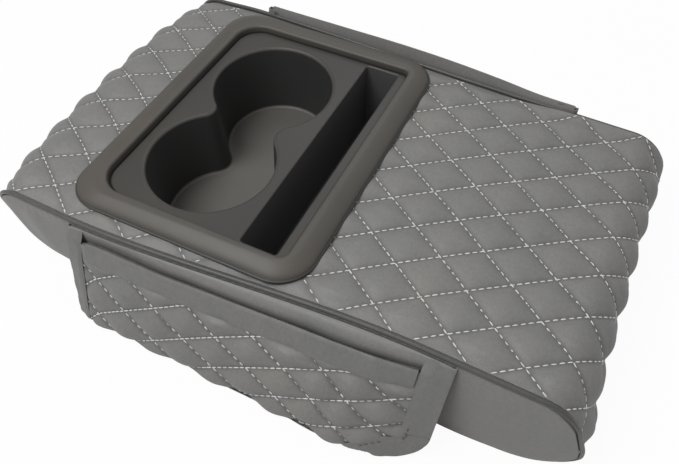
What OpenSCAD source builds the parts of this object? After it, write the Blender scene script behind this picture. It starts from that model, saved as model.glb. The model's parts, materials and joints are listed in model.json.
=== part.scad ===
// Car centre armrest: a quilted foam pad with a moulded cup tray in its top and
// a bound pouch sewn along each long side.
// X runs along the pad, the cup tray lies towards -X. The origin is on the
// surface that the pad stands on, in the middle of its outline.

/* [Pad] */
// Length over the corners of the two quilted ends
pad_length = 353; // [340:1:380]
// Width over the side panels at the tray end
pad_width = 213; // [208:1:226]
// Height from the base to the crests of the quilting
pad_height = 68; // [64:1:80]
// How far the front side is drawn in towards the plain end
front_taper = 16; // [0:0.5:18]
// How far the rear side is drawn in towards the plain end
rear_taper = 4; // [0:0.5:18]
// Radius of the top edge at each end
top_radius = 22; // [16:0.5:26]
// Radius of the bottom edge at each end
base_radius = 18; // [12:0.5:22]
// Lean of the end faces, in degrees
end_lean = 8; // [0:0.5:12]
// How far the quilted ends swell out between their corners
end_crown = 6.5; // [0:0.5:10]

/* [Cover] */
// Thickness of the padded cover at its crests
cover_t = 5; // [4:0.1:6]
// Depth of the stitched seams below the crests
quilt_depth = 1.8; // [0.5:0.1:2]
// Length of one stitched diamond
diamond_length = 39; // [33:0.5:45]
// Width of one stitched diamond
diamond_width = 27.2; // [23:0.2:31]
// How far the quilting runs askew to the front over the pad's length
quilt_drift = 12.5; // [0:0.5:14]
// Thickness of the plain side panels
side_t = 2; // [1.2:0.1:3]
// Thickness of the non-slip base panel
base_t = 2; // [1.5:0.1:3]
// Diameter of the piping cord
piping_d = 3.6; // [3:0.1:4]

/* [Cup tray] */
// Length of the tray's rim along the pad
tray_length = 149; // [145:1:152]
// Strip of the pad's width left on each side of the rim
tray_margin = 10.75; // [10:0.25:14]
// Middle of the rim along the pad
tray_x = -51; // [-54:0.5:-46]
// Middle of the rim across the pad
tray_y = 1.75; // [0:0.25:3]
// Corner radius of the rim
tray_corner = 21; // [16:0.5:26]
// Height of the rim above the quilting
rim_height = 6; // [4:0.2:7]
// Width of the rim in front of the cups and behind them
rim_width = 14; // [12:0.1:15]
// Width of the rim at the end away from the slot
rim_end_width = 15; // [12:0.1:16]
// Width of the rim beside the coin slot
rim_slot_width = 14; // [12:0.5:16]
// Depth of the recessed plate below the rim
plate_drop = 4.5; // [3:0.1:5]
// Wall thickness of the moulding
tray_wall = 2.2; // [1.8:0.1:2.8]
// Diameter of a cup well
cup_d = 75.8; // [70:0.2:76]
// Distance between the two cup wells
cup_pitch = 71; // [67:0.2:72]
// Depth of the cup wells and the slot below the plate
well_depth = 50; // [42:0.5:52]
// Width of the slot
slot_width = 22; // [17:0.5:22.5]
// Strip of plate at each end of the slot
slot_end = 1.75; // [1:0.25:4]

/* [Pouches] */
// Length of a pouch
pouch_length = 224; // [190:1:230]
// How far each pouch is shifted along its side
pouch_shift = 3.5; // [0:0.5:8]
// Height of the mouth above the base
mouth_height = 57; // [48:0.5:58]
// How far the mouth stands off the side
mouth_reach = 10; // [9:0.1:11]
// Width over the feet of both pouches
pouch_spread = 261; // [253:1:271]
// Thickness of the quilted face
face_t = 3; // [2.6:0.1:3.4]
// Thickness of the plain back
back_t = 1; // [0.8:0.1:1.4]
// Width of the binding tape on the face
binding_width = 16; // [12:0.5:18]
// Width of the binding tape on the back
binding_inside = 5; // [3:0.5:8]
// Height of the hem on the face
hem_height = 12; // [8:0.5:15]
// Height of the hem inside the pouch
hem_inside = 8; // [5:0.5:12]
// Thickness of the tape
tape_t = 0.7; // [0.5:0.1:0.9]

/* [Hidden] */

FRONT = -1;
REAR = 1;

// Clearance between soft layers that lie on each other
layer_gap = 0.3;
// Clearance beside the piping cord
cord_gap = 0.1;
// Clearance between a tape and the cloth that it binds
tape_gap = 0.25;
// Clearance round the tray's wells in the foam
well_gap = 0.4;

piping_r = piping_d / 2;
// Depth of the cord's axis below the crests
piping_inset = piping_r + 1.6;
// Depth of the outside of the cover where it meets the cord
edge_drop = 3.5;
// Width of the band where the cover rolls down to the cord
edge_roll = 10;
// Edge of the cover, measured in from the side panel's face
cover_margin = piping_d;
// Depth of the side panel's outline and of the foam below the crests
core_inset = piping_inset + piping_r + cord_gap;

// The sides close in between these two places along the pad
taper_from = -0.34 * pad_length;
taper_to = 0.27 * pad_length;

function smooth(t) = let (c = min(max(t, 0), 1)) c * c * (3 - 2 * c);
function blend(a, b, t) = a + (b - a) * t;
function taper(x) = smooth((x - taper_from) / (taper_to - taper_from));

// Outside face of a side panel
function side_y(x, side) =
    side * (pad_width / 2 - (side == FRONT ? front_taper : rear_taper) * taper(x));

// The section along the pad: a flat top, a rounded edge, a leaning end face, a
// rounded bottom edge. Lengths run outwards over the surface from the middle.
base_centre_x = pad_length / 2 - base_radius;
face_rise = pad_height - top_radius - base_radius;
top_centre_x = base_centre_x
    + (base_radius - top_radius - face_rise * sin(end_lean)) / cos(end_lean);
top_arc = top_radius * (90 - end_lean) * PI / 180;
face_length = (base_centre_x - top_centre_x) * sin(end_lean) + face_rise * cos(end_lean);
base_arc = base_radius * (90 + end_lean) * PI / 180;
face_start = top_centre_x + top_arc;
base_start = face_start + face_length;
half_girth = base_start + base_arc;

function end_point(a, inset) =
    a < top_centre_x ? [a, pad_height - inset]
    : a < face_start ? let (t = 90 - (a - top_centre_x) / top_radius * 180 / PI, r = top_radius - inset)
        [top_centre_x + r * cos(t), pad_height - top_radius + r * sin(t)]
    : a < base_start ? let (q = a - face_start, r = top_radius - inset)
        [top_centre_x + r * cos(end_lean) + q * sin(end_lean),
         pad_height - top_radius + r * sin(end_lean) - q * cos(end_lean)]
    : let (t = end_lean - (a - base_start) / base_radius * 180 / PI, r = base_radius - inset)
        [base_centre_x + r * cos(t), base_radius + r * sin(t)];

// Point of the section at a length along the surface, as [x, z]
function section_point(s, inset) = let (p = end_point(abs(s), inset)) [sign(s) * p.x, p.y];

arc_steps = 9;
half_stations = concat(
    [for (k = [0 : arc_steps]) blend(top_centre_x, face_start, k / arc_steps)],
    [for (k = [0 : arc_steps]) blend(base_start, half_girth, k / arc_steps)]);
section_stations = concat(
    [for (k = [len(half_stations) - 1 : -1 : 0]) -half_stations[k]], half_stations);

module section_prism(inset)
    rotate([90, 0, 0])
        linear_extrude(2 * pad_width, center = true)
            polygon([for (s = section_stations) section_point(s, inset)]);

// Outline of the pad in plan between two insets from one side or from both
plan_steps = 16;
function side_line(side, inset) =
    [for (k = [0 : plan_steps]) let (x = pad_length * (k / plan_steps - 0.5))
        [x, side_y(x, side) - side * inset]];
function reversed(list) = [for (k = [len(list) - 1 : -1 : 0]) list[k]];

// Closed sheet between two grids of points; a cell that isn't kept is left open
function flatten(rows) = [for (row = rows) each row];
function kept(keep, i, j) =
    i >= 0 && j >= 0 && i < len(keep) && j < len(keep[0]) && keep[i][j];

function sheet_faces(keep, turned) =
    let (nj = len(keep[0]) + 1, n = (len(keep) + 1) * nj)
    [for (i = [0 : len(keep) - 1], j = [0 : len(keep[0]) - 1])
        if (keep[i][j])
            let (a = i * nj + j, b = a + nj, c = b + 1, d = a + 1,
                faces = concat(
                    (i + j) % 2 == 1 ? [[a, d, b], [b, d, c]] : [[a, c, b], [a, d, c]],
                    [[a + n, b + n, c + n], [a + n, c + n, d + n]],
                    kept(keep, i, j - 1) ? [] : [[a, b, b + n], [a, b + n, a + n]],
                    kept(keep, i, j + 1) ? [] : [[c, d, d + n], [c, d + n, c + n]],
                    kept(keep, i - 1, j) ? [] : [[d, a, a + n], [d, a + n, d + n]],
                    kept(keep, i + 1, j) ? [] : [[b, c, c + n], [b, c + n, b + n]]))
            each turned ? [for (f = faces) reversed(f)] : faces];

module sheet(outer, inner, keep, turned = false)
    polyhedron(concat(flatten(outer), flatten(inner)), sheet_faces(keep, turned), convexity = 6);

function all_cells(ni, nj) = [for (i = [1 : ni]) [for (j = [1 : nj]) true]];

// Quilting: the seams are the whole numbers of p and q, and a diamond's crest
// lies between them
function pillow(t) = 1 - pow(abs(2 * (t - floor(t)) - 1), 2.5);
function crest(s, y) =
    let (p = s / diamond_length + y / diamond_width, q = s / diamond_length - y / diamond_width)
    pillow(p) * pillow(q);

// A seam crossing on the top, from which the quilting is laid out
quilt_s = pad_length / 2 - diamond_length;
quilt_y = 86;
function drift(x) = quilt_drift * (1 - taper(x));

// Stations along the pad at quarters of a diamond, and eighths round the ends
station_step = diamond_length / 4;
first_station = ceil((8 - half_girth - quilt_s) / station_step);
last_station = floor((half_girth - 3 - quilt_s) / station_step);
stations = concat(
    [-half_girth],
    [for (k = [first_station : 0.5 : last_station]) let (s = quilt_s + k * station_step)
        if (k == floor(k) || abs(s) > top_centre_x) s],
    [half_girth]);

// Rows across the pad at quarters of a diamond, with a few more along each edge
row_step = diamond_width / 4;
first_row = ceil((12 + front_taper - pad_width / 2 - quilt_y) / row_step);
last_row = floor((pad_width / 2 - rear_taper - 6 - quilt_y) / row_step);
front_rows = 2;
rear_rows = 3;

function cover_edge(x, side) = side_y(x, side) - side * cover_margin;
function lattice_row(k, x) = quilt_y + k * row_step - drift(x);
function row_values(x) = concat(
    [for (k = [0 : front_rows - 1])
        blend(cover_edge(x, FRONT), lattice_row(first_row, x), k / front_rows)],
    [for (k = [first_row : last_row]) lattice_row(k, x)],
    [for (k = [1 : rear_rows])
        blend(lattice_row(last_row, x), cover_edge(x, REAR), k / rear_rows)]);

// The rim of the tray leaves the same strip of the pad on both sides
tray_width = pad_width - 2 * tray_margin;
slot_length = tray_width - 2 * rim_width - 2 * slot_end;

// Under the rim the cover is pressed flat at the height of its crests
rim_min = [tray_x - tray_length / 2, tray_y - tray_width / 2];
rim_max = [tray_x + tray_length / 2, tray_y + tray_width / 2];
function under_rim(x, y) =
    x > rim_min.x && x < rim_max.x && y > rim_min.y && y < rim_max.y;

function cover_depth(s, x, y) =
    let (edge = min(y - cover_edge(x, FRONT), cover_edge(x, REAR) - y),
        roll = smooth(edge / edge_roll),
        seam = quilt_depth * (1 - crest(s - quilt_s, y - quilt_y + drift(x))))
    edge > edge_roll / 2 && abs(s) < top_centre_x && under_rim(x, y) ? 0
    : blend(edge_drop, seam, roll);

// Outline of the tray's sunk part, which the window clears
pan_min = rim_min + [rim_end_width, rim_width] - [tray_wall, tray_wall];
pan_max = rim_max - [rim_slot_width, rim_width] + [tray_wall, tray_wall];
function over_pan(low, high) =
    high.x > pan_min.x - layer_gap && low.x < pan_max.x + layer_gap
    && high.y > pan_min.y - layer_gap && low.y < pan_max.y + layer_gap;

// The padding swells out over the ends, most in the middle between the pipings
crown_from = top_centre_x - 12;
crown_rise = 34;
function end_swell(s, x, y) =
    let (low = cover_edge(x, FRONT), high = cover_edge(x, REAR),
        across = min(abs(2 * y - low - high) / (high - low), 1))
    sign(s) * end_crown * (1 - pow(across, 2.6)) * smooth((abs(s) - crown_from) / crown_rise)
        * (1 - smooth((abs(s) - base_start) / (0.6 * base_arc)));

module quilted_cover() {
    rows = [for (s = stations) row_values(section_point(s, 0).x)];
    outer = [for (i = [0 : len(stations) - 1]) let (s = stations[i], x = section_point(s, 0).x)
        [for (y = rows[i]) let (p = section_point(s, cover_depth(s, x, y))) [p.x + end_swell(s, x, y), y, p.y]]];
    inner = [for (i = [0 : len(stations) - 1]) let (p = section_point(stations[i], cover_t))
        [for (y = rows[i]) [p.x, y, p.y]]];
    keep = [for (i = [0 : len(stations) - 2])
        [for (j = [0 : len(rows[0]) - 2])
            !(abs(stations[i]) < top_centre_x && over_pan(
                [stations[i], min(rows[i][j], rows[i + 1][j])],
                [stations[i + 1], max(rows[i][j + 1], rows[i + 1][j + 1])]))]];
    color([0.46, 0.46, 0.45]) sheet(outer, inner, keep);
}

// Section of the core with a flat foot at a height above the base
module core_prism(foot) {
    section_prism(core_inset);
    translate([-base_centre_x + core_inset, -pad_width, foot])
        cube([2 * (base_centre_x - core_inset), 2 * pad_width, core_inset]);
}

module side_panel(side)
    color([0.47, 0.47, 0.46])
        intersection() {
            linear_extrude(pad_height)
                polygon(concat(side_line(side, 0), reversed(side_line(side, side_t))));
            union() core_prism(layer_gap);
        }

module base_panel()
    color([0.12, 0.12, 0.12])
        intersection() {
            linear_extrude(base_t)
                polygon(concat(side_line(FRONT, side_t + layer_gap),
                    reversed(side_line(REAR, side_t + layer_gap))));
            translate([-base_centre_x + layer_gap, -pad_width, 0])
                cube([2 * (base_centre_x - layer_gap), 2 * pad_width, base_t]);
        }

// Piping: a cord along the top edge of a side and down both ends
piping_end = half_girth - base_radius * 50 * PI / 180;
piping_sides = 8;
cord_stations = concat(
    [-piping_end],
    [for (k = [len(half_stations) - 1 : -1 : 0])
        if (half_stations[k] < piping_end - 1) -half_stations[k]],
    [for (k = [1 : plan_steps - 1]) blend(-top_centre_x, top_centre_x, k / plan_steps)],
    [for (s = half_stations) if (s < piping_end - 1) s],
    [piping_end]);

function cord_centre(s, side) =
    let (p = section_point(s, piping_inset))
    [p.x, side_y(p.x, side) - side * (piping_r - cord_gap), p.y];

module piping(side) {
    n = len(cord_stations);
    rings = [for (s = cord_stations)
        let (c = cord_centre(s, side), o = section_point(s, 0) - section_point(s, 1))
        [for (k = [0 : piping_sides - 1]) let (t = 360 * (k + 0.5) / piping_sides)
            c + piping_r * [o.x * sin(t), cos(t), o.y * sin(t)]]];
    walls = [for (i = [0 : n - 2], k = [0 : piping_sides - 1])
        let (m = (k + 1) % piping_sides, a = i * piping_sides + k, b = i * piping_sides + m)
        each [[a, b, b + piping_sides], [a, b + piping_sides, a + piping_sides]]];
    ends = [[for (k = [piping_sides - 1 : -1 : 0]) k],
        [for (k = [0 : piping_sides - 1]) (n - 1) * piping_sides + k]];
    color([0.1, 0.1, 0.1]) polyhedron(flatten(rings), concat(walls, ends), convexity = 6);
}

// Cup tray: heights of its plate and floors
plate_z = pad_height + rim_height - plate_drop;
floor_z = plate_z - well_depth;
recess_min = rim_min + [rim_end_width, rim_width];
recess_max = rim_max - [rim_slot_width, rim_width];
recess_corner = 16;
recess_slot_corner = 7;
cup_r = cup_d / 2;
// Fillets of the waist between the wells, away from the slot and beside it
waist_fillets = [9, 10];
hole_round = 2;
// Strip of plate between the slot and the rim
slot_lip = 6.3;
slot_x = recess_max.x - slot_lip - slot_width / 2;
cups_x = (recess_min.x + slot_x - slot_width / 2) / 2;
waist_y = tray_y - 2;
cup_ys = [waist_y - cup_pitch / 2, waist_y + cup_pitch / 2];

module rounded_prism(low, high, r_low, r_high, h)
    linear_extrude(h)
        polygon(concat(
            corner_arc([high.x - r_high, high.y - r_high], r_high, 0),
            corner_arc([low.x + r_low, high.y - r_low], r_low, 90),
            corner_arc([low.x + r_low, low.y + r_low], r_low, 180),
            corner_arc([high.x - r_high, low.y + r_high], r_high, 270)));
function corner_arc(c, r, from) =
    [for (k = [0 : 8]) let (t = from + 90 * k / 8) c + r * [cos(t), sin(t)]];

// The two wells joined at their waist, grown by a wall
function waist_reach(f) = sqrt(pow(cup_r + f, 2) - pow(cup_pitch / 2, 2));
module wells(grow, h) {
    for (y = cup_ys) translate([cups_x, y, 0]) cylinder(r = cup_r + grow, h = h, $fn = 96);
    difference() {
        linear_extrude(h)
            polygon([[cups_x, cup_ys[0]], [cups_x + waist_reach(waist_fillets[1]), waist_y],
                [cups_x, cup_ys[1]], [cups_x - waist_reach(waist_fillets[0]), waist_y]]);
        for (end = [0, 1])
            translate([cups_x + (end * 2 - 1) * waist_reach(waist_fillets[end]), waist_y, -1])
                cylinder(r = waist_fillets[end] - grow, h = h + 2, $fn = 48);
    }
}

module slot_prism(grow, h)
    translate([slot_x - slot_width / 2 - grow, tray_y - slot_length / 2 - grow, 0])
        cube([slot_width + 2 * grow, slot_length + 2 * grow, h]);

// Rounding of a well's top edge, as the ring that it takes off
module hole_rounding(r)
    rotate_extrude($fn = 96)
        difference() {
            translate([r - 1, -hole_round]) square([hole_round + 1, hole_round + 1]);
            translate([r + hole_round, -hole_round]) circle(hole_round, $fn = 32);
        }

// The rim's section: a rounded outside edge and a flat top, reaching inwards
// as far as the corner's centre
bead_width = 8;
bead_steps = 8;
module rim_section()
    polygon(concat([[0, 0]],
        [for (k = [0 : bead_steps]) let (t = 90 * k / bead_steps)
            [tray_corner - bead_width * (1 - cos(t)), rim_height * sin(t)]],
        [[0, rim_height]]));

module rim() {
    straight = [tray_length, tray_width] - 2 * [tray_corner, tray_corner];
    translate([tray_x, tray_y, pad_height]) {
        translate([-straight.x / 2, -straight.y / 2, 0])
            cube([straight.x, straight.y, rim_height]);
        for (side = [0 : 3]) {
            along = side % 2 == 0 ? straight.y : straight.x;
            out = side % 2 == 0 ? straight.x : straight.y;
            rotate([0, 0, 90 * side]) {
                translate([out / 2, along / 2, 0])
                    rotate([90, 0, 0]) linear_extrude(along) rim_section();
                translate([out / 2, along / 2, 0])
                    rotate_extrude(angle = 90, $fn = 96) rim_section();
            }
        }
    }
}

// Skirt that hangs from the pan into the window of the cover
skirt_z = pad_height - cover_t + 0.5;

module cup_tray()
    color([0.33, 0.32, 0.31])
        difference() {
            union() {
                rim();
                translate([0, 0, skirt_z])
                    rounded_prism(pan_min, pan_max, recess_corner + tray_wall,
                        recess_slot_corner + tray_wall, plate_z - skirt_z);
                translate([0, 0, floor_z - tray_wall]) {
                    wells(tray_wall, plate_z - floor_z);
                    slot_prism(tray_wall, plate_z - floor_z);
                }
            }
            translate([0, 0, plate_z])
                rounded_prism(recess_min, recess_max, recess_corner, recess_slot_corner, 2 * rim_height);
            // Hollow under the plate, open round the wells
            difference() {
                translate([0, 0, skirt_z - 1])
                    rounded_prism(recess_min, recess_max, recess_corner, recess_slot_corner,
                        plate_z - tray_wall - skirt_z + 1);
                translate([0, 0, skirt_z - 2]) {
                    wells(tray_wall, plate_z - skirt_z);
                    slot_prism(tray_wall, plate_z - skirt_z);
                }
            }
            translate([0, 0, floor_z]) {
                wells(0, well_depth + 1);
                slot_prism(0, well_depth + 1);
            }
            for (y = cup_ys) translate([cups_x, y, plate_z]) hole_rounding(cup_r);
        }

foam_foot = base_t + cord_gap;

// The foam's cut for the wells runs straight across their waist
function waist_touch(f) = (cup_r + tray_wall) / (cup_r + f) * [waist_reach(f), cup_pitch / 2];
module foam_wells(h) {
    low = [waist_touch(waist_fillets[0]).x + well_gap, cup_pitch / 2 - waist_touch(waist_fillets[1]).y];
    high = [waist_touch(waist_fillets[1]).x + well_gap, low.y];
    for (y = cup_ys)
        translate([cups_x, y, 0]) cylinder(r = cup_r + tray_wall + well_gap, h = h, $fn = 96);
    translate([cups_x - low.x, waist_y - low.y, 0]) cube([low.x + high.x, low.y + high.y, h]);
}

module foam_core()
    color([0.85, 0.83, 0.72])
        difference() {
            intersection() {
                linear_extrude(pad_height)
                    polygon(concat(side_line(FRONT, side_t + layer_gap),
                        reversed(side_line(REAR, side_t + layer_gap))));
                union() core_prism(foam_foot);
            }
            translate([0, 0, floor_z - tray_wall]) {
                foam_wells(pad_height);
                slot_prism(tray_wall + well_gap, pad_height);
            }
        }

// Pouches. A place on one is u, its length from the middle, and v, its drop
// below the mouth. The reach is the distance out from the side panel.
pouch_foot = 0.6;
pouch_drop = mouth_height - pouch_foot;
pouch_corner = 20;
// Top edge of each pouch's back above the mouth, the rear one standing above
// its piping and leaning away from it
back_rises = [5.6, 14.6];
back_lean = 2.5;
// Room between face and back for the hem's inner layer
hem_room = tape_t + tape_gap + 0.5;
// The ends are flat as far as end_flat and run over into the middle by end_blend
end_flat = binding_width + 2;
end_blend = 34;
face_belly = 2.4;

function back_rise(side) = back_rises[side == FRONT ? 0 : 1];
// Where the back meets the face, as a part of its length below the mouth
back_turn = 0.89;
// 0 at a pouch's ends and 1 over its middle
function middle(u) = smooth((pouch_length / 2 - end_flat - abs(u)) / end_blend);
function drop_at(u) =
    let (c = max(pouch_corner - (pouch_length / 2 - abs(u)), 0))
    pouch_drop - pouch_corner + sqrt(pow(pouch_corner, 2) - c * c);

// The foot of a pouch is straight, so its reach grows where the side draws in
function foot_reach(u, side) = pouch_spread / 2 - abs(side_y(u + side * pouch_shift, side));

function face_reach(u, v, side) =
    let (t = max(v, 0) / pouch_drop)
    blend(blend(0.7, 1, middle(u)) * mouth_reach, foot_reach(u, side), t)
    + face_belly * sin(180 * t) * middle(u) + min(v, 0) * 0.35;

// Outside of the back: it hangs beside the panel and turns out at the foot, and
// at the ends it lies against the face
function back_outer(u, v, side) =
    let (hung = blend(back_t + tape_t + 2 * layer_gap, back_t + layer_gap, middle(u))
            + back_lean * smooth((-v - 6) / 8),
        against = face_reach(u, v, side) - face_t - hem_room,
        turned = min(v / (back_turn * (pouch_drop - cloth_margin)), 1),
        belly = blend(hung, against, pow(turned, 10)))
    v < 0 ? hung : blend(max(against, hung), belly, middle(u));

function back_inner(u, v, side) = back_outer(u, v, side) - back_t;
function face_inner(u, v, side) = face_reach(u, v, side) - face_t;

function pouch_point(u, v, reach, side) =
    let (x = u + side * pouch_shift)
    [x, side_y(x, side) + side * reach, mouth_height - v];

pouch_steps = 20;
pouch_us = concat(
    [-pouch_length / 2, -pouch_length / 2 + pouch_corner * 0.12, -pouch_length / 2 + pouch_corner * 0.4],
    [for (k = [0 : pouch_steps]) (pouch_length - 2 * pouch_corner) * (k / pouch_steps - 0.5)],
    [pouch_length / 2 - pouch_corner * 0.4, pouch_length / 2 - pouch_corner * 0.12, pouch_length / 2]);
face_steps = 7;
// Rows of the back below the mouth, closer together where it turns out, the
// last of them as wide as the tape inside
back_bend = 0.02;
back_rows = [back_bend, 0.5, 0.68, 0.8, back_turn, 1];
// Edge of the cloth, measured in from the outside of the binding
cloth_margin = tape_t + tape_gap + 0.15;

function cloth_u(u) = u * (pouch_length - 2 * cloth_margin) / pouch_length;

module pouch_back(side) {
    vs = function (u) concat([-back_rise(side), -back_rise(side) / 2],
        [for (t = back_rows) t * (drop_at(u) - cloth_margin)]);
    grid = function (inset) [for (u = pouch_us) [for (v = vs(u))
        pouch_point(cloth_u(u), v, back_outer(u, v, side) - inset, side)]];
    color([0.47, 0.47, 0.46])
        sheet(grid(0), grid(back_t), all_cells(len(pouch_us) - 1, len(back_rows) + 1), side == REAR);
}

module pouch_face(side) {
    edge_puff = function (u, v) smooth(min(pouch_length / 2 - abs(u), drop_at(u) - v, v) / 14);
    vs = function (u) [for (k = [0 : face_steps]) blend(0, drop_at(u) - cloth_margin, k / face_steps)];
    outer = [for (u = pouch_us) [for (v = vs(u))
        pouch_point(cloth_u(u), v, face_reach(u, v, side)
            + quilt_depth * (crest(u, v) * edge_puff(u, v) - 1) * 0.8, side)]];
    inner = [for (u = pouch_us) [for (v = vs(u))
        pouch_point(cloth_u(u), v, face_inner(u, v, side), side)]];
    color([0.44, 0.44, 0.43])
        sheet(outer, inner, all_cells(len(pouch_us) - 1, face_steps), side == REAR);
}

// Tape folded over an edge: stations give a place on the edge and the way in.
// It lies on the outside, turns the edge and lies on the inside.
module tape(stations, outside_w, inside_w, outside, inside, side) {
    across = [[outside_w, 1], [outside_w / 2, 1], [0.5, 1], [0, 0.7], [0, 0.3], [0.5, 0],
        [inside_w / 2, 0], [inside_w, 0]];
    layer = function (lift) [for (st = stations) [for (c = across)
        let (w = c[0] + (c[0] > 0.4 ? 0 : (1 - lift) * tape_t),
            u = st[0] + st[2] * w, v = st[1] + st[3] * w,
            reach = blend(inside(u, v), outside(u, v), c[1])
                + (c[1] > 0.5 ? 1 : -1) * (tape_gap + lift * tape_t))
        pouch_point(u, v, reach, side)]];
    color([0.42, 0.42, 0.41])
        sheet(layer(1), layer(0), all_cells(len(stations) - 1, len(across) - 1), side == REAR);
}

// Outside of what the binding holds: the face, or the back above the mouth
function bound_outer(u, v, side) = max(face_reach(u, v, side), back_outer(u, v, side));

corner_steps = 5;
// Places along the pouch: the face's own columns, every second one in the middle
tape_places = [for (k = [0 : pouch_steps])
    if (k % 2 == 0 || abs(k - pouch_steps / 2) > pouch_steps / 4)
        (pouch_length - 2 * pouch_corner) * (k / pouch_steps - 0.5)];
module pouch_binding(side) {
    half = pouch_length / 2;
    rise = back_rise(side);
    bottom = pouch_drop - pouch_corner;
    bend = back_bend * pouch_drop;
    sides = concat([-rise, -rise / 2], [for (k = [0 : 3]) blend(bend, bottom, k / 3)]);
    edge = concat(
        [for (v = sides) [-half, v, 1, 0]],
        [for (k = [1 : corner_steps]) let (t = 90 * k / corner_steps)
            [-half + pouch_corner * (1 - cos(t)), bottom + pouch_corner * sin(t),
             cos(t), -sin(t)]],
        [for (u = tape_places) if (abs(u) < half - pouch_corner - 1) [u, pouch_drop, 0, -1]],
        [for (k = [corner_steps : -1 : 1]) let (t = 90 * k / corner_steps)
            [half - pouch_corner * (1 - cos(t)), bottom + pouch_corner * sin(t),
             -cos(t), -sin(t)]],
        [for (v = reversed(sides)) [half, v, -1, 0]]);
    tape(edge, binding_width, binding_inside,
        function (u, v) bound_outer(u, v, side), function (u, v) back_inner(u, v, side), side);
}

module pouch_hem(side) {
    edge = [for (u = reversed(tape_places)) [u, -tape_t - tape_gap, 0, 1]];
    tape(edge, hem_height, hem_inside,
        function (u, v) face_reach(u, v, side), function (u, v) face_inner(u, v, side), side);
}

foam_core();
quilted_cover();
side_panel(FRONT);  // front_side_panel
side_panel(REAR);  // rear_side_panel
piping(FRONT);  // front_piping
piping(REAR);  // rear_piping
base_panel();
cup_tray();
pouch_back(FRONT);  // front_pouch_back
pouch_face(FRONT);  // front_pouch_face
pouch_hem(FRONT);  // front_pouch_hem
pouch_binding(FRONT);  // front_pouch_binding
pouch_back(REAR);  // rear_pouch_back
pouch_face(REAR);  // rear_pouch_face
pouch_hem(REAR);  // rear_pouch_hem
pouch_binding(REAR);  // rear_pouch_binding
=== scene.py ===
"""Looks of a car centre armrest: a quilted pad with a cup tray and two sewn pouches.

Lengths are written in millimetres in the part's own frame and turned into metres
when a mesh is made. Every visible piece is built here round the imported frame.
"""

import json
import logging
import math
from dataclasses import asdict, dataclass, field
from enum import Enum, IntEnum
from typing import Callable, Iterable, Optional, Sequence, Union

import bpy
import numpy as np
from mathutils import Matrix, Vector
from mathutils.geometry import delaunay_2d_cdt

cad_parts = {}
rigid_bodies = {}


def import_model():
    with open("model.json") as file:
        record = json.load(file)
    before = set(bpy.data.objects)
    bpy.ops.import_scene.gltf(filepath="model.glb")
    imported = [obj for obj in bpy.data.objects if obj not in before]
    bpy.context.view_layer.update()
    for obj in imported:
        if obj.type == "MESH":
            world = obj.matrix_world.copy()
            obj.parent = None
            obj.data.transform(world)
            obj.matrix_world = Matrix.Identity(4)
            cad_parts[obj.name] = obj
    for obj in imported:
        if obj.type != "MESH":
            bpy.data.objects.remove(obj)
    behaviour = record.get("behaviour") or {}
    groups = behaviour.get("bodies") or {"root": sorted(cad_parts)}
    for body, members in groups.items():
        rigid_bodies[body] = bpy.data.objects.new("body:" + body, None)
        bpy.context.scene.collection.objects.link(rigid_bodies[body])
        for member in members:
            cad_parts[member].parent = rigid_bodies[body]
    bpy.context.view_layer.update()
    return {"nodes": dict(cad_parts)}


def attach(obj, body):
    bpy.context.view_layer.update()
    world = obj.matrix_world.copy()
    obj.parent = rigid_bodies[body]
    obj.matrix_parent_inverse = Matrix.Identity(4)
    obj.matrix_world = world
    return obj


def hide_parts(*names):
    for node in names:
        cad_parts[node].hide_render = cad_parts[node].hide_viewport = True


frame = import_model()

LOG = logging.getLogger("armrest")
MM = 0.001
Points = np.ndarray
Colour = tuple[float, float, float]


class Side(Enum):
    """The two long sides of the pad."""

    FRONT = -1
    REAR = 1

    @property
    def label(self) -> str:
        """Name used for this side's pieces."""
        return self.name.lower()


# Small maths


def smooth(t: Points) -> Points:
    """Smooth step from 0 to 1."""
    c = np.clip(t, 0.0, 1.0)
    return c * c * (3 - 2 * c)


def mix(a: Points, b: Points, t: Points) -> Points:
    """Straight blend from a at t = 0 to b at t = 1."""
    return a + (b - a) * t


def curve_through(knots: Sequence[float], values: Sequence[float], x: Points) -> Points:
    """Smooth curve through a few knots, flat beyond the outer ones.

    Args:
        knots: Rising places.
        values: Value at each knot.
        x: Places asked for.

    Returns:
        The values at x, by cubic pieces with averaged slopes.
    """
    k, v = np.asarray(knots, float), np.asarray(values, float)
    slopes = np.gradient(v, k)
    slopes[0] = slopes[-1] = 0.0
    x = np.clip(x, k[0], k[-1])
    i = np.clip(np.searchsorted(k, x, side="right") - 1, 0, len(k) - 2)
    h = k[i + 1] - k[i]
    t = (x - k[i]) / h
    return (
        (2 * t**3 - 3 * t**2 + 1) * v[i]
        + (t**3 - 2 * t**2 + t) * h * slopes[i]
        + (3 * t**2 - 2 * t**3) * v[i + 1]
        + (t**3 - t**2) * h * slopes[i + 1]
    )


class SoftNoise:
    """Smooth value noise on a seeded lattice, for wrinkles and slack cloth."""

    def __init__(self, seed: int, cells: int = 64) -> None:
        """Draws the lattice.

        Args:
            seed: Seed of the lattice.
            cells: Cells along each side before the pattern repeats.
        """
        self.cells = cells
        self.values = np.random.default_rng(seed).uniform(-1, 1, (cells, cells))

    def at(self, x: Points, y: Points) -> Points:
        """Noise at places given in cells."""
        x, y = np.broadcast_arrays(x, y)
        ix, iy = np.floor(x).astype(int), np.floor(y).astype(int)
        fx, fy = smooth(x - ix), smooth(y - iy)
        n = self.cells
        v = self.values
        low = mix(v[ix % n, iy % n], v[(ix + 1) % n, iy % n], fx)
        high = mix(v[ix % n, (iy + 1) % n], v[(ix + 1) % n, (iy + 1) % n], fx)
        return mix(low, high, fy)


SLACK = SoftNoise(5)
WRINKLE = SoftNoise(17)


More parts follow.
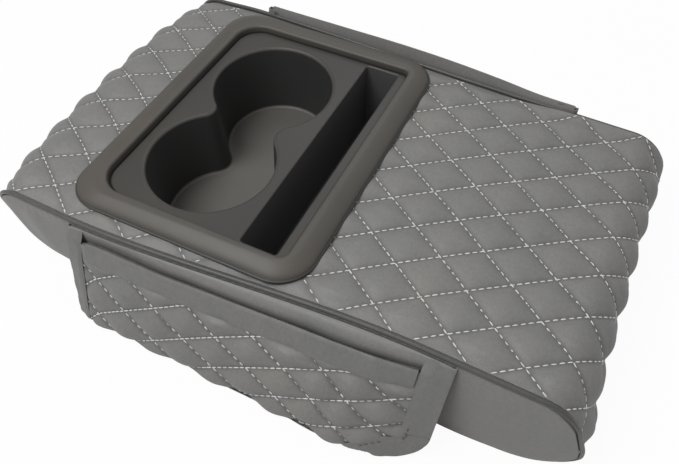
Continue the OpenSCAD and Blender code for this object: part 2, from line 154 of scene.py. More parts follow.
@dataclass(frozen=True)
class Ripple:
    """One size of slack in a surface, in millimetres."""

    noise: SoftNoise
    cell: tuple[float, float]
    height: float
    start: tuple[float, float] = (0.0, 0.0)

    def at(self, x: Points, y: Points) -> Points:
        """Height at places on the surface."""
        (cell_x, cell_y), (start_x, start_y) = self.cell, self.start
        return self.noise.at(x / cell_x + start_x, y / cell_y + start_y) * self.height


def rippled(ripples: Sequence[Ripple], x: Points, y: Points) -> Points:
    """Height of several sizes of slack together."""
    return sum(ripple.at(x, y) for ripple in ripples)


def stretches(there: Points, least: int) -> list[slice]:
    """Slices of the stretches that are there, each at least so many places long."""
    edges = np.flatnonzero(np.diff(np.concatenate([[0], there.astype(int), [0]])))
    return [slice(start, end) for start, end in zip(edges[::2], edges[1::2]) if end - start >= least]


def kept_above(points: Points, lowest: float) -> Points:
    """The points, none of them lower than a height."""
    points[..., 2] = np.maximum(points[..., 2], lowest)
    return points


def quarter_turn(steps: int, first: int = 1) -> list[tuple[float, float]]:
    """Steps round a quarter turn: the share still to go along, and the share gone across."""
    turns = [math.pi / 2 * k / steps for k in range(first, steps + 1)]
    return [(1 - math.sin(t), 1 - math.cos(t)) for t in turns]


def unit(v: Points) -> Points:
    """Vectors scaled to length 1."""
    return v / np.maximum(np.linalg.norm(v, axis=-1, keepdims=True), 1e-12)


def grid_normals(grid: Points) -> Points:
    """Normals of a grid of points, to the left of i and j."""
    di = np.gradient(grid, axis=0)
    dj = np.gradient(grid, axis=1)
    return unit(np.cross(di, dj))


# Meshes


def placed(name: str, data: bpy.types.ID) -> bpy.types.Object:
    """An object of the data, linked into the scene at the origin."""
    obj = bpy.data.objects.new(name, data)
    bpy.context.scene.collection.objects.link(obj)
    return obj


class MeshKit:
    """Turns arrays in millimetres into Blender objects that ride on the part."""

    @staticmethod
    def make(
        name: str,
        vertices: Points,
        faces: Iterable[Sequence[int]],
        materials: Sequence[bpy.types.Material],
        material_ids: Optional[Sequence[int]] = None,
        attributes: Optional[dict[str, Points]] = None,
        sharp_deg: float = 40.0,
    ) -> bpy.types.Object:
        """Makes a mesh object at the origin.

        Args:
            name: Name of the piece.
            vertices: Points in millimetres.
            faces: Corner indices of each face.
            materials: Materials in slot order.
            material_ids: Slot of each face.
            attributes: Named numbers, one for each vertex.
            sharp_deg: Edges that turn by more than this stay sharp.

        Returns:
            The object.
        """
        mesh = bpy.data.meshes.new(name)
        mesh.from_pydata((np.asarray(vertices) * MM).tolist(), [], [list(map(int, f)) for f in faces])
        for material in materials:
            mesh.materials.append(material)
        if material_ids is not None:
            mesh.polygons.foreach_set("material_index", np.asarray(material_ids, np.int32))
        for key, values in (attributes or {}).items():
            layer = mesh.attributes.new(key, "FLOAT", "POINT")
            layer.data.foreach_set("value", np.asarray(values, np.float32).ravel())
        mesh.validate()
        mesh.shade_smooth()
        mesh.set_sharp_from_angle(angle=math.radians(sharp_deg))
        mesh.update()
        return placed(name, mesh)

    @staticmethod
    def sheet_parts(
        outer: Points, inner: Points, keep: Optional[Points] = None
    ) -> tuple[Points, list[tuple[int, ...]], Points]:
        """Closed sheet between two grids, with walls round what is kept.

        Args:
            outer: Outside grid, (ni, nj, 3).
            inner: Inside grid of the same shape.
            keep: Cells that are there, (ni - 1, nj - 1); all of them if left out.

        Returns:
            Vertices, faces and the grid places that the vertices come from.
        """
        ni, nj = outer.shape[:2]
        keep = np.ones((ni - 1, nj - 1), bool) if keep is None else keep
        n = ni * nj
        index = np.arange(n).reshape(ni, nj)
        a, b = index[:-1, :-1], index[1:, :-1]
        c, d = index[1:, 1:], index[:-1, 1:]
        quads = [np.stack([a, b, c, d], -1)[keep], np.stack([a, d, c, b], -1)[keep] + n]
        padded = np.pad(keep, 1)
        sides = (
            (~padded[1:-1, :-2], a, b),
            (~padded[2:, 1:-1], b, c),
            (~padded[1:-1, 2:], c, d),
            (~padded[:-2, 1:-1], d, a),
        )
        for empty, p, q in sides:
            here = keep & empty
            quads.append(np.stack([q[here], p[here], p[here] + n, q[here] + n], -1))
        vertices = np.concatenate([outer.reshape(-1, 3), inner.reshape(-1, 3)])
        faces = np.concatenate(quads)
        used = np.unique(faces)
        renumber = np.full(2 * n, -1)
        renumber[used] = np.arange(len(used))
        return vertices[used], [tuple(f) for f in renumber[faces]], used

    @classmethod
    def sheet(
        cls,
        name: str,
        outer: Points,
        inner: Points,
        material: bpy.types.Material,
        keep: Optional[Points] = None,
        seam: Optional[Points] = None,
        turned: bool = False,
        sharp_deg: float = 60.0,
    ) -> bpy.types.Object:
        """Makes a closed sheet as an object.

        Args:
            name: Name of the piece.
            outer: Outside grid in millimetres.
            inner: Inside grid in millimetres.
            material: Finish of the whole sheet.
            keep: Cells that are there.
            seam: Closeness to a seam at each grid point, 1 on the seam; the leather darkens there as painted
                shade.
            turned: Whether the grids' order faces inwards.
            sharp_deg: Edges that turn by more than this stay sharp.

        Returns:
            The object.
        """
        if turned:
            outer, inner = outer[::-1], inner[::-1]
            keep = None if keep is None else keep[::-1]
            seam = None if seam is None else seam[::-1]
        vertices, faces, used = cls.sheet_parts(outer, inner, keep)
        near = np.zeros(outer.shape[:2]) if seam is None else seam
        values = np.concatenate([near.ravel(), np.zeros(near.size)])[used]
        return cls.make(name, vertices, faces, [material], None, {"seam": values}, sharp_deg)


# Shader maths


class Wire:
    """A socket or a number in a shader, with the usual signs of arithmetic."""

    def __init__(self, shade: "Shade", value: Union[float, bpy.types.NodeSocket]) -> None:
        """Keeps the node tree that new Math nodes go into, and the value."""
        self.shade = shade
        self.value = value

    def _math(self, operation: str, other: "Operand") -> "Wire":
        """Adds one Math node on this value and the other."""
        return self.shade.node("ShaderNodeMath", {"operation": operation}, {0: self, 1: other})

    def __add__(self, other: "Operand") -> "Wire":
        """Sum."""
        return self._math("ADD", other)

    def __radd__(self, other: "Operand") -> "Wire":
        """Sum with the number first."""
        return self.shade.wire(other) + self

    def __sub__(self, other: "Operand") -> "Wire":
        """Difference."""
        return self._math("SUBTRACT", other)

    def __rsub__(self, other: "Operand") -> "Wire":
        """Difference with the number first."""
        return self.shade.wire(other) - self

    def __mul__(self, other: "Operand") -> "Wire":
        """Product."""
        return self._math("MULTIPLY", other)

    def clamped(self) -> "Wire":
        """The value held between 0 and 1."""
        return self.shade.node(
            "ShaderNodeMath", {"operation": "ADD", "use_clamp": True}, {0: self, 1: 0.0}
        )


Operand = Union[Wire, float]
Settings = dict[str, object]
Sockets = dict[Union[str, int], object]


class Shade:
    """Builder of the node tree of one material, or of the world."""

    def __init__(self, name: str, world: Optional[bpy.types.World] = None) -> None:
        """Makes an empty material, or empties the world's tree.

        Args:
            name: Name of the material.
            world: The world that is lit instead.
        """
        self.material = None if world else bpy.data.materials.new(name)
        owner = world or self.material
        owner.use_nodes = True
        self.tree = owner.node_tree
        self.tree.nodes.clear()
        self.output = self.tree.nodes.new("ShaderNodeOutputWorld" if world else "ShaderNodeOutputMaterial")

    def wire(self, value: Operand) -> Wire:
        """The value as a wire."""
        return value if isinstance(value, Wire) else Wire(self, value)

    def node(self, kind: str, settings: Settings, sockets: Sockets, out: Union[str, int] = 0) -> Wire:
        """Adds a node.

        Args:
            kind: Type of the node.
            settings: Properties that are set first; "stops" fills a colour ramp.
            sockets: Values or wires of its inputs, by name or number.
            out: Output to return.

        Returns:
            The wire of that output.
        """
        made = self.tree.nodes.new(kind)
        for key, value in settings.items():
            if key == "stops":
                self._fill_ramp(made.color_ramp, value)
            else:
                setattr(made, key, value)
        for key, value in sockets.items():
            target = made.inputs[key]
            value = value.value if isinstance(value, Wire) else value
            if isinstance(value, bpy.types.NodeSocket):
                self.tree.links.new(value, target)
            else:
                target.default_value = value
        return Wire(self, made.outputs[out])

    @staticmethod
    def _fill_ramp(ramp: bpy.types.ColorRamp, stops: Sequence[tuple[float, float]]) -> None:
        """Sets a grey ramp's stops, as places and levels."""
        while len(ramp.elements) < len(stops):
            ramp.elements.new(0.5)
        for element, (place, level) in zip(ramp.elements, stops):
            element.position = place
            element.color = (level, level, level, 1.0)

    def place(self) -> Wire:
        """Object coordinates, in metres."""
        return self.node("ShaderNodeTexCoord", {}, {}, "Object")

    def noise(
        self, scale: float, detail: float = 2.0, rough: float = 0.5, stretch: Optional[Colour] = None
    ) -> Wire:
        """Noise from 0 to 1 on object coordinates.

        Args:
            scale: Cells in a metre.
            detail: Octaves.
            rough: Weight of each further octave.
            stretch: Factor of each axis before the noise.

        Returns:
            The noise.
        """
        where = self.place()
        if stretch is not None:
            where = self.node("ShaderNodeMapping", {}, {"Vector": where, "Scale": stretch})
        return self.node(
            "ShaderNodeTexNoise", {}, {"Vector": where, "Scale": scale, "Detail": detail, "Roughness": rough}
        )

    def tint(self, colour: Colour, other: Colour, factor: Operand) -> Wire:
        """Blend of two colours."""
        return self.node(
            "ShaderNodeMix",
            {"data_type": "RGBA"},
            {0: factor, 6: (*colour, 1.0), 7: (*other, 1.0)},
            2,
        )

    def dim(self, colour: Wire, level: Operand) -> Wire:
        """Colour times a grey level."""
        return self.node("ShaderNodeVectorMath", {"operation": "SCALE"}, {0: colour, 3: level})

    def bump(
        self, height: Wire, depth_mm: float, strength: float = 1.0, normal: Optional[Wire] = None
    ) -> Wire:
        """Bump node on a height from 0 to 1."""
        sockets: Sockets = {"Height": height, "Distance": depth_mm * MM, "Strength": strength}
        if normal is not None:
            sockets["Normal"] = normal
        return self.node("ShaderNodeBump", {}, sockets)

    def finish(self, sockets: dict[str, object]) -> bpy.types.Material:
        """Ends the material in one principled shader.

        Args:
            sockets: Values and wires of the shader.

        Returns:
            The material.
        """
        self.close(self.node("ShaderNodeBsdfPrincipled", {}, sockets))
        return self.material

    def close(self, surface: Wire) -> None:
        """Links the last shader to the output."""
        self.tree.links.new(surface.value, self.output.inputs["Surface"])


def linear(level: float) -> float:
    """Linear value of a screen level from 0 to 255."""
    c = level / 255.0
    return c / 12.92 if c <= 0.04045 else ((c + 0.055) / 1.055) ** 2.4


def screen(red: float, green: float, blue: float) -> Colour:
    """Linear colour of screen levels from 0 to 255."""
    return linear(red), linear(green), linear(blue)


@dataclass(frozen=True)
class LeatherFinish:
    """Artificial leather: fine pebble grain, soft sheen, and painted shade darkening it along its seams."""

    name: str
    colour: Colour
    warm: Colour
    grain_mm: float = 0.9
    grain_depth: float = 0.09
    roughness: float = 0.52
    wrinkle: float = 0.0
    seam_dark: float = 0.35

    def build(self) -> bpy.types.Material:
        """Makes the material."""
        s = Shade(self.name)
        cells = s.node(
            "ShaderNodeTexVoronoi",
            {"feature": "SMOOTH_F1"},
            {"Vector": s.place(), "Scale": 1 / (self.grain_mm * MM), "Smoothness": 0.6},
            "Distance",
        )
        fine = s.noise(2.2 / (self.grain_mm * MM), 2.0, 0.6)
        cloud = s.noise(22.0, 3.0, 0.55)
        speck = s.noise(420.0, 3.0, 0.7)
        seam = s.node("ShaderNodeAttribute", {"attribute_name": "seam"}, {}, "Fac")
        # The seam attribute darkens the colour along the quilting seams: painted shade in their creases.
        level = (1.0 + (speck - 0.5) * 0.34 + (cells - 0.45) * 0.16) * (1.0 - seam * self.seam_dark)
        colour = s.dim(s.tint(self.colour, self.warm, ((cloud - 0.35) * 2.2).clamped()), level)
        height = cells * 0.7 + fine * 0.3
        normal = s.bump(height, self.grain_depth, 0.8)
        if self.wrinkle > 0:
            folds = s.noise(70.0, 3.0, 0.6, (1.0, 1.0, 0.35))
            normal = s.bump(folds, self.wrinkle, 0.7, normal)
        rough = self.roughness + (cloud - 0.5) * 0.16 + (cells - 0.45) * 0.1
        return s.finish(
            {
                "Base Color": colour,
                "Roughness": rough,
                "Normal": normal,
                "Specular IOR Level": 0.42,
                "Sheen Weight": 0.05,
            }
        )


@dataclass(frozen=True)
class MouldingFinish:
    """Satin moulded plastic with a fine spark texture."""

    name: str
    colour: Colour
    warm: Colour
    roughness: float = 0.4
    texture_depth: float = 0.035

    def build(self) -> bpy.types.Material:
        """Makes the material."""
        s = Shade(self.name)
        spark = s.noise(1500.0, 2.0, 0.6)
        cloud = s.noise(14.0, 2.0, 0.5)
        wear = s.noise(60.0, 4.0, 0.65)
        level = 1.0 + (spark - 0.5) * 0.22 + (wear - 0.5) * 0.1
        colour = s.dim(s.tint(self.colour, self.warm, ((cloud - 0.35) * 2.4).clamped()), level)
        rough = self.roughness + (wear - 0.5) * 0.12 + (spark - 0.5) * 0.1
        return s.finish(
            {
                "Base Color": colour,
                "Roughness": rough,
                "Normal": s.bump(spark, self.texture_depth, 0.6),
                "Specular IOR Level": 0.5,
            }
        )


@dataclass(frozen=True)
class ThreadFinish:
    """Pale polyester thread with the twist of its plies."""

    name: str
    colour: Colour
    dark: Colour

    def build(self) -> bpy.types.Material:
        """Makes the material."""
        s = Shade(self.name)
        twist = s.node(
            "ShaderNodeTexWave",
            {"wave_type": "BANDS", "bands_direction": "DIAGONAL"},
            {"Vector": s.place(), "Scale": 900.0, "Distortion": 1.5, "Detail": 1.0},
            "Fac",
        )
        fuzz = s.noise(260.0, 3.0, 0.6)
        colour = s.tint(self.colour, self.dark, (twist * 0.35 + (fuzz - 0.35) * 0.9).clamped())
        return s.finish(
            {
                "Base Color": colour,
                "Roughness": 0.62 + (fuzz - 0.5) * 0.2,
                "Normal": s.bump(twist, 0.12, 0.5),
                "Sheen Weight": 0.2,
            }
        )


@dataclass(frozen=True)
class ClothFinish:
    """Plain woven cloth or open foam, told apart by the size of its cells."""

    name: str
    colour: Colour
    other: Colour
    pitch_mm: float = 0.7
    depth: float = 0.15
    roughness: float = 0.9

    def build(self) -> bpy.types.Material:
        """Makes the material."""
        s = Shade(self.name)
        scale = 1 / (self.pitch_mm * MM * 2)
        threads = {"Vector": s.place(), "Scale": scale, "Distortion": 0.6, "Detail": 1.0}
        warp, weft = (
            s.node("ShaderNodeTexWave", {"wave_type": "BANDS", "bands_direction": axis}, threads, "Fac")
            for axis in "XY"
        )
        weave = warp * 0.5 + weft * 0.5
        spots = s.noise(90.0, 3.0, 0.6)
        colour = s.dim(s.tint(self.colour, self.other, spots), 0.8 + weave * 0.4)
        return s.finish(
            {
                "Base Color": colour,
                "Roughness": self.roughness + (spots - 0.5) * 0.12,
                "Normal": s.bump(weave, self.depth, 0.8),
                "Specular IOR Level": 0.3,
            }
        )


class Finishes:
    """Every material of the armrest, made once."""

    def __init__(self) -> None:
        """Builds the materials."""
        self.quilt = LeatherFinish(
            "quilted_leather_grey", screen(116, 116, 115), screen(124, 122, 118)
        ).build()
        self.plain = LeatherFinish(
            "plain_leather_grey", screen(118, 118, 116), screen(124, 121, 117), wrinkle=0.5
        ).build()
        self.tape = LeatherFinish(
            "binding_leather_grey", screen(110, 110, 109), screen(116, 115, 112), wrinkle=0.7
        ).build()
        self.piping = LeatherFinish(
            "piping_leather_dark", screen(74, 74, 73), screen(84, 83, 81), 0.7, 0.06, 0.4
        ).build()
        self.tray = MouldingFinish(
            "tray_satin_plastic", screen(73, 70, 66), screen(82, 78, 72), 0.5
        ).build()
        # Darker copy of the tray's plastic for the recessed plate: painted shade.
        self.plate = MouldingFinish(
            "tray_plate_plastic", screen(57, 55, 52), screen(64, 60, 56), 0.48
        ).build()
        # Near black: painted shade on the rim's foot, in the plate's groove and on the wells' walls.
        self.well = MouldingFinish(
            "tray_black_plastic", screen(50, 50, 50), screen(54, 53, 53), 0.55, 0.02
        ).build()
        self.slot = MouldingFinish(
            "tray_slot_plastic", screen(74, 74, 74), screen(79, 78, 78), 0.6, 0.02
        ).build()
        # Lighter copy of the tray's plastic for the wells' floors: painted light where shade falls in the
        # wells.
        self.floor = MouldingFinish(
            "tray_floor_plastic", screen(91, 89, 85), screen(98, 95, 90), 0.5
        ).build()
        self.thread = ThreadFinish("pale_thread", screen(226, 226, 224), screen(190, 190, 188)).build()
        self.tape_thread = ThreadFinish("dark_grey_thread", screen(72, 72, 71), screen(60, 60, 59)).build()
        self.foam = ClothFinish(
            "foam_cream", screen(226, 220, 196), screen(214, 206, 178), 1.6, 0.5
        ).build()
        self.base = ClothFinish("base_cloth_black", screen(38, 38, 39), screen(46, 46, 46)).build()


# Forms of the pad


@dataclass(frozen=True)
class PadForm:
    """Sizes of the pad and the surfaces that follow from them."""

    length: float = 353.0
    width: float = 213.0
    height: float = 68.0
    front_taper: float = 16.0
    rear_taper: float = 4.0
    top_radius: float = 22.0
    base_radius: float = 18.0
    end_lean: float = math.radians(8)
    cover_t: float = 5.0
    side_t: float = 2.0
    piping_r: float = 1.3
    piping_rise: float = 1.5
    end_swell: tuple[float, float] = (9.5, 3.6)
    corner_sag: float = 2.3
    taper_from: float = 0.34
    taper_over: float = 0.61

    # Places along the pad and how far the foot of each side panel stands out there
    FRONT_FOOT = (
        (-184, -178.6, -172, -165, -156, -148, -110, 20, 90, 112, 125, 138, 151, 164, 173, 178.6, 184),
        (-14, -11.4, -8.8, -6.8, -5.4, -4.9, -3.5, 2, 4.4, 5.1, 4.7, 3.7, 2.3, -0.9, -4.8, -9.2, -12),
    )
    REAR_FOOT = ((-184, -165, -140, 140, 165, 184), (-12, -5, 0, 0, -5, -12))
    # Heights and how far the plain end's two corners stand out there
    FRONT_FLARE = ((0, 6, 14, 26, 38, 50, 62), (0.8, 3.4, 5.6, 6.2, 4.2, 1.6, 0.0))
    REAR_FLARE = ((0, 12, 40, 56, 66), (4.0, 4.0, 3.8, 2.6, 0.5))

    @property
    def face_rise(self) -> float:
        """Height of the leaning end face between its two rounded edges."""
        return self.height - self.top_radius - self.base_radius

    @property
    def base_centre(self) -> float:
        """Place along X where the bottom edge starts to round."""
        return self.length / 2 - self.base_radius

    @property
    def top_centre(self) -> float:
        """Place along X where the top edge starts to round."""
        lean = self.end_lean
        return self.base_centre + (
            self.base_radius - self.top_radius - self.face_rise * math.sin(lean)
        ) / math.cos(lean)

    @property
    def face_start(self) -> float:
        """Length over the surface at which the end face starts."""
        return self.top_centre + self.top_radius * (math.pi / 2 - self.end_lean)

    @property
    def base_start(self) -> float:
        """Length over the surface at which the bottom edge starts."""
        lean = self.end_lean
        return (
            self.face_start
            + (self.base_centre - self.top_centre) * math.sin(lean)
            + self.face_rise * math.cos(lean)
        )

    @property
    def half_girth(self) -> float:
        """Length over the surface from the middle to the base."""
        return self.base_start + self.base_radius * (math.pi / 2 + self.end_lean)

    @property
    def piping_inset(self) -> float:
        """Depth of the cord's axis below the crests."""
        return self.piping_r + self.piping_rise

    def taper(self, x: Points) -> Points:
        """How far the sides have drawn in at x, from 0 to 1."""
        return smooth((x + self.taper_from * self.length) / (self.taper_over * self.length))

    def side_y(self, x: Points, side: Side) -> Points:
        """Outside face of a side."""
        drawn = self.front_taper if side is Side.FRONT else self.rear_taper
        return side.value * (self.width / 2 - drawn * self.taper(x))

    def lean(self, x: Points, z: Points, side: Side) -> Points:
        """How far a side stands out at a height, beyond its top edge.

        Args:
            x: Place along the pad.
            z: Height over the base.
            side: The side; the slack front one leans in at the tray's end.

        Returns:
            The distance outwards, the same for both signs of the side.
        """
        foot = curve_through(*(self.FRONT_FOOT if side is Side.FRONT else self.REAR_FOOT), x)
        return foot * np.clip(1 - z / (self.height - 6.0), 0, 1)

    def swell(self, s: Points, across: Points, z: Points) -> Points:
        """How far the padding swells out over the ends.

        Args:
            s: Length over the surface from the middle.
            across: Place across the pad from -1 at one edge to 1 at the other.
            z: Height over the base; not used.

        Returns:
            The shift along X.
        """
        full = np.where(s < 0, -self.end_swell[0], self.end_swell[1])
        rise = smooth((np.abs(s) - (self.top_centre - 12)) / 40)
        fall = 1 - smooth((np.abs(s) - self.base_start) / (0.7 * self.base_radius * math.pi / 2))
        return full * rise * fall * (1 - np.clip(np.abs(across), 0, 1) ** 2.6)

    def sunk(self, x: Points, y: Points, z: Points) -> Points:
        """Height once the far corner beside the tray has sunk, most at the top and not at the base."""
        sag = self.corner_sag * smooth((-112 - x) / 45) * smooth((y - 58) / 40)
        return z - sag * np.clip(z / self.height, 0, 1)

    def flare(self, x: Points, z: Points, side: Side) -> Points:
        """How far a corner of the plain end stands out along X.

        Args:
            x: Place along the pad.
            z: Height over the base.
            side: Side of the corner.

        Returns:
            The shift along X.
        """
        amount = curve_through(*(self.FRONT_FLARE if side is Side.FRONT else self.REAR_FLARE), z)
        return amount * smooth((x - 118) / 50)

    def flared(self, x: Points, x0: Points, z0: Points, across: Points) -> Points:
        """Place along the pad once both corners of the plain end have flared.

        Args:
            x: Place before the flare.
            x0: Place on the plain surface, which sets how much it moves.
            z0: Height on the plain surface.
            across: Place across the pad from -1 at one edge to 1 at the other.

        Returns:
            The place after it.
        """
        for side in Side:
            x = x + self.flare(x0, z0, side) * smooth((side.value * across - 0.35) / 0.65)
        return x

    def section(self, s: Points, inset: Points) -> tuple[Points, Points, Points, Points]:
        """Section along the pad.

        Args:
            s: Length over the surface from the middle.
            inset: Depth below the crests.

        Returns:
            X, Z and the two parts of the outward direction.
        """
        s, inset = np.broadcast_arrays(np.asarray(s, float), np.asarray(inset, float))
        a, lean = np.abs(s), self.end_lean
        top_z = self.height - self.top_radius
        turn_top = np.clip((a - self.top_centre) / self.top_radius, 0, math.pi / 2 - lean)
        angle = np.where(
            a < self.face_start,
            math.pi / 2 - turn_top,
            lean - np.clip((a - self.base_start) / self.base_radius, 0, math.pi),
        )
        nx, nz = np.cos(angle), np.sin(angle)
        nx = np.where(a < self.top_centre, 0.0, nx)
        nz = np.where(a < self.top_centre, 1.0, nz)
        q = np.clip(a - self.face_start, 0, self.base_start - self.face_start)
        flat = np.minimum(a, self.top_centre)
        upper_x = flat + self.top_radius * nx + q * math.sin(lean)
        upper_z = top_z + self.top_radius * nz - q * math.cos(lean)
        lower_x = self.base_centre + self.base_radius * nx
        lower_z = self.base_radius + self.base_radius * nz
        low = a > self.base_start
        x = np.where(low, lower_x, upper_x) - inset * nx
        z = np.where(low, lower_z, upper_z) - inset * nz
        sign = np.where(s < 0, -1.0, 1.0)
        return sign * x, z, sign * nx, nz


@dataclass(frozen=True)
class Quilting:
    """Diamond seams: whole numbers of p and q are seams, crests lie between."""

    length: float = 39.0
    width: float = 27.2
    depth: float = 2.7
    power: float = 2.3
    seam_width: float = 1.3

    def pq(self, s: Points, y: Points) -> tuple[Points, Points]:
        """Seam numbers at a place on the flat pattern."""
        return s / self.length + y / self.width, s / self.length - y / self.width

    def relief(self, s: Points, y: Points) -> tuple[Points, Points]:
        """Puffed height from 0 on a seam to 1, and closeness to a seam from 0 to 1."""
        return self.relief_at(*self.pq(s, y))

    def relief_at(self, p: Points, q: Points) -> tuple[Points, Points]:
        """The same at given seam numbers."""
        dp = np.abs(2 * (p - np.floor(p)) - 1)
        dq = np.abs(2 * (q - np.floor(q)) - 1)
        height = (1 - dp**self.power) * (1 - dq**self.power)
        across = self.length * self.width / math.hypot(self.length, self.width)
        near = across * np.minimum(1 - dp, 1 - dq) / 2
        return height, np.exp(-((near / self.seam_width) ** 2))


class NodeForm:
    """A Geometry Nodes tree with sizes as inputs, which is run on lines and leaves a plain mesh."""

    def __init__(self, name: str, sizes: dict[str, float]) -> None:
        """Starts the tree.

        Args:
            name: Name of the tree.
            sizes: Its inputs and their defaults, in millimetres.
        """
        self.tree = bpy.data.node_groups.new(name, "GeometryNodeTree")
        sockets = self.tree.interface
        for way in ("INPUT", "OUTPUT"):
            sockets.new_socket("Geometry", in_out=way, socket_type="NodeSocketGeometry")
        self.keys: dict[str, str] = {}
        for size, value in sizes.items():
            socket = sockets.new_socket(size, in_out="INPUT", socket_type="NodeSocketFloat")
            socket.default_value = value * MM
            self.keys[size] = socket.identifier
        self.given = self.tree.nodes.new("NodeGroupInput").outputs

    def node(self, kind: str, settings: Settings, sockets: Sockets) -> bpy.types.NodeOutputs:
        """Adds a node and returns its outputs.

        Args:
            kind: Type of the node.
            settings: Properties that are set first.
            sockets: Values or other nodes' outputs for its inputs, by name or number.

        Returns:
            The outputs.
        """
        made = self.tree.nodes.new(kind)
        for key, value in settings.items():
            setattr(made, key, value)
        for key, value in sockets.items():
            if isinstance(value, bpy.types.NodeSocket):
                self.tree.links.new(value, made.inputs[key])
            else:
                made.inputs[key].default_value = value
        return made.outputs

    def end(self, shape: bpy.types.NodeSocket, material: bpy.types.Material) -> None:
        """Ends the tree: the shape made real, in its material and smooth."""
        real = self.node("GeometryNodeRealizeInstances", {}, {0: shape})
        dressed = self.node("GeometryNodeSetMaterial", {}, {"Geometry": real[0], "Material": material})
        even = self.node("GeometryNodeSetShadeSmooth", {}, {0: dressed[0]})
        self.tree.links.new(even[0], self.tree.nodes.new("NodeGroupOutput").inputs[0])

    def run(
        self, name: str, lines: Sequence[Points], lifts: Optional[Sequence[Points]], sizes: dict[str, float]
    ) -> bpy.types.Object:
        """Runs the tree on lines.

        Args:
            name: Name of the piece.
            lines: Points of each line, in millimetres.
            lifts: Outward directions at those points, where the tree reads them.
            sizes: Values of the inputs, in millimetres.

        Returns:
            What the tree makes, as a plain object.
        """
        edges, start = [], 0
        for line in lines:
            edges += [(start + i, start + i + 1) for i in range(len(line) - 1)]
            start += len(line)
        mesh = bpy.data.meshes.new(name + "_lines")
        mesh.from_pydata((np.concatenate(lines) * MM).tolist(), edges, [])
        if lifts is not None:
            layer = mesh.attributes.new("lift", "FLOAT_VECTOR", "POINT")
            layer.data.foreach_set("vector", np.concatenate(lifts).astype(np.float32).ravel())
        source = placed(name + "_lines", mesh)
        modifier = source.modifiers.new(self.tree.name, "NODES")
        modifier.node_group = self.tree
        for size, value in sizes.items():
            modifier[self.keys[size]] = value * MM
        bpy.context.view_layer.update()
        graph = bpy.context.evaluated_depsgraph_get()
        made = bpy.data.meshes.new_from_object(
            source.evaluated_get(graph), preserve_all_data_layers=True, depsgraph=graph
        )
        made.name = name
        bpy.data.objects.remove(source)
        return placed(name, made)


@dataclass(frozen=True)
class Stitch:
    """Sizes of one kind of stitch, in millimetres: the names are the tree's inputs."""

    pitch: float = 4.0
    length: float = 3.1
    width: float = 0.8
    height: float = 0.6


class Stitcher(NodeForm):
    """Lays stitches along polylines on a surface."""

    def __init__(self, thread: bpy.types.Material) -> None:
        """Builds the tree once.

        Args:
            thread: Finish of the stitches.
        """
        super().__init__("stitch_runs", asdict(Stitch()))
        node, given = self.node, self.given
        line = node("GeometryNodeMeshToCurve", {}, {"Mesh": given["Geometry"]})
        places = node(
            "GeometryNodeResampleCurve",
            {"mode": "LENGTH"},
            {"Curve": line["Curve"], "Length": given["pitch"]},
        )
        tangent = node("GeometryNodeInputTangent", {}, {})
        lift = node("GeometryNodeInputNamedAttribute", {"data_type": "FLOAT_VECTOR"}, {"Name": "lift"})
        along = node("FunctionNodeAlignRotationToVector", {"axis": "X"}, {"Vector": tangent[0]})
        up = node(
            "FunctionNodeAlignRotationToVector",
            {"axis": "Z", "pivot_axis": "X"},
            {"Rotation": along[0], "Vector": lift["Attribute"]},
        )
        grain = node("GeometryNodeMeshUVSphere", {}, {"Segments": 6, "Rings": 5, "Radius": 0.5})
        stitch = node(
            "GeometryNodeTransform", {}, {"Geometry": grain["Mesh"], "Rotation": (0.0, math.pi / 2, 0.0)}
        )
        size = node("ShaderNodeCombineXYZ", {}, {0: given["length"], 1: given["width"], 2: given["height"]})
        jitter = node(
            "FunctionNodeRandomValue",
            {"data_type": "FLOAT_VECTOR"},
            {0: (0.9, 0.88, 0.85), 1: (1.08, 1.12, 1.15), "Seed": 11},
        )
        scale = node("ShaderNodeVectorMath", {"operation": "MULTIPLY"}, {0: size[0], 1: jitter[0]})
        put = node(
            "GeometryNodeInstanceOnPoints",
            {},
            {"Points": places["Curve"], "Instance": stitch[0], "Rotation": up[0], "Scale": scale[0]},
        )
        self.end(put["Instances"], thread)

    def sew(
        self, name: str, runs: Sequence[tuple[Points, Points]], stitch: Stitch = Stitch()
    ) -> bpy.types.Object:
        """Sews the runs as one plain mesh.

        Args:
            name: Name of the piece.
            runs: Points and outward directions of each run, in millimetres.
            stitch: Sizes of the stitches.

        Returns:
            The stitches as an object.
        """
        lines, lifts = zip(*runs)
        return self.run(name, lines, lifts, asdict(stitch))


class CordSweep(NodeForm):
    """Sweeps a round cord along a line."""

    def __init__(self, leather: bpy.types.Material) -> None:
        """Builds the tree.

        Args:
            leather: Finish of the cord.
        """
        super().__init__("cord_sweep", {"radius": 1.3})
        node, given = self.node, self.given
        line = node("GeometryNodeMeshToCurve", {}, {"Mesh": given["Geometry"]})
        ring = node("GeometryNodeCurvePrimitiveCircle", {}, {"Resolution": 14, "Radius": given["radius"]})
        swept = node(
            "GeometryNodeCurveToMesh",
            {},
            {"Curve": line["Curve"], "Profile Curve": ring["Curve"], "Fill Caps": True},
        )
        self.end(swept[0], leather)


# The tray's outlines


def rounded_loop(
    low: Sequence[float], high: Sequence[float], radii: Sequence[float], grow: float, steps: int = 14
) -> Points:
    """Outline of a rectangle with rounded corners, counter-clockwise.

    Args:
        low: Lower corner.
        high: Upper corner.
        radii: Corner radii from the upper right one, counter-clockwise.
        grow: How far the outline is moved outwards.
        steps: Steps in each corner.

    Returns:
        Points of the outline, the same number for any grow.
    """
    centres = (
        (high[0] - radii[0], high[1] - radii[0]),
        (low[0] + radii[1], high[1] - radii[1]),
        (low[0] + radii[2], low[1] + radii[2]),
        (high[0] - radii[3], low[1] + radii[3]),
    )
    points = []
    for k, (cx, cy) in enumerate(centres):
        angles = (k + np.linspace(0, 1, steps + 1)) * math.pi / 2
        r = max(radii[k] + grow, 0.02)
        points.append(np.stack([cx + r * np.cos(angles), cy + r * np.sin(angles)], -1))
    return np.concatenate(points)


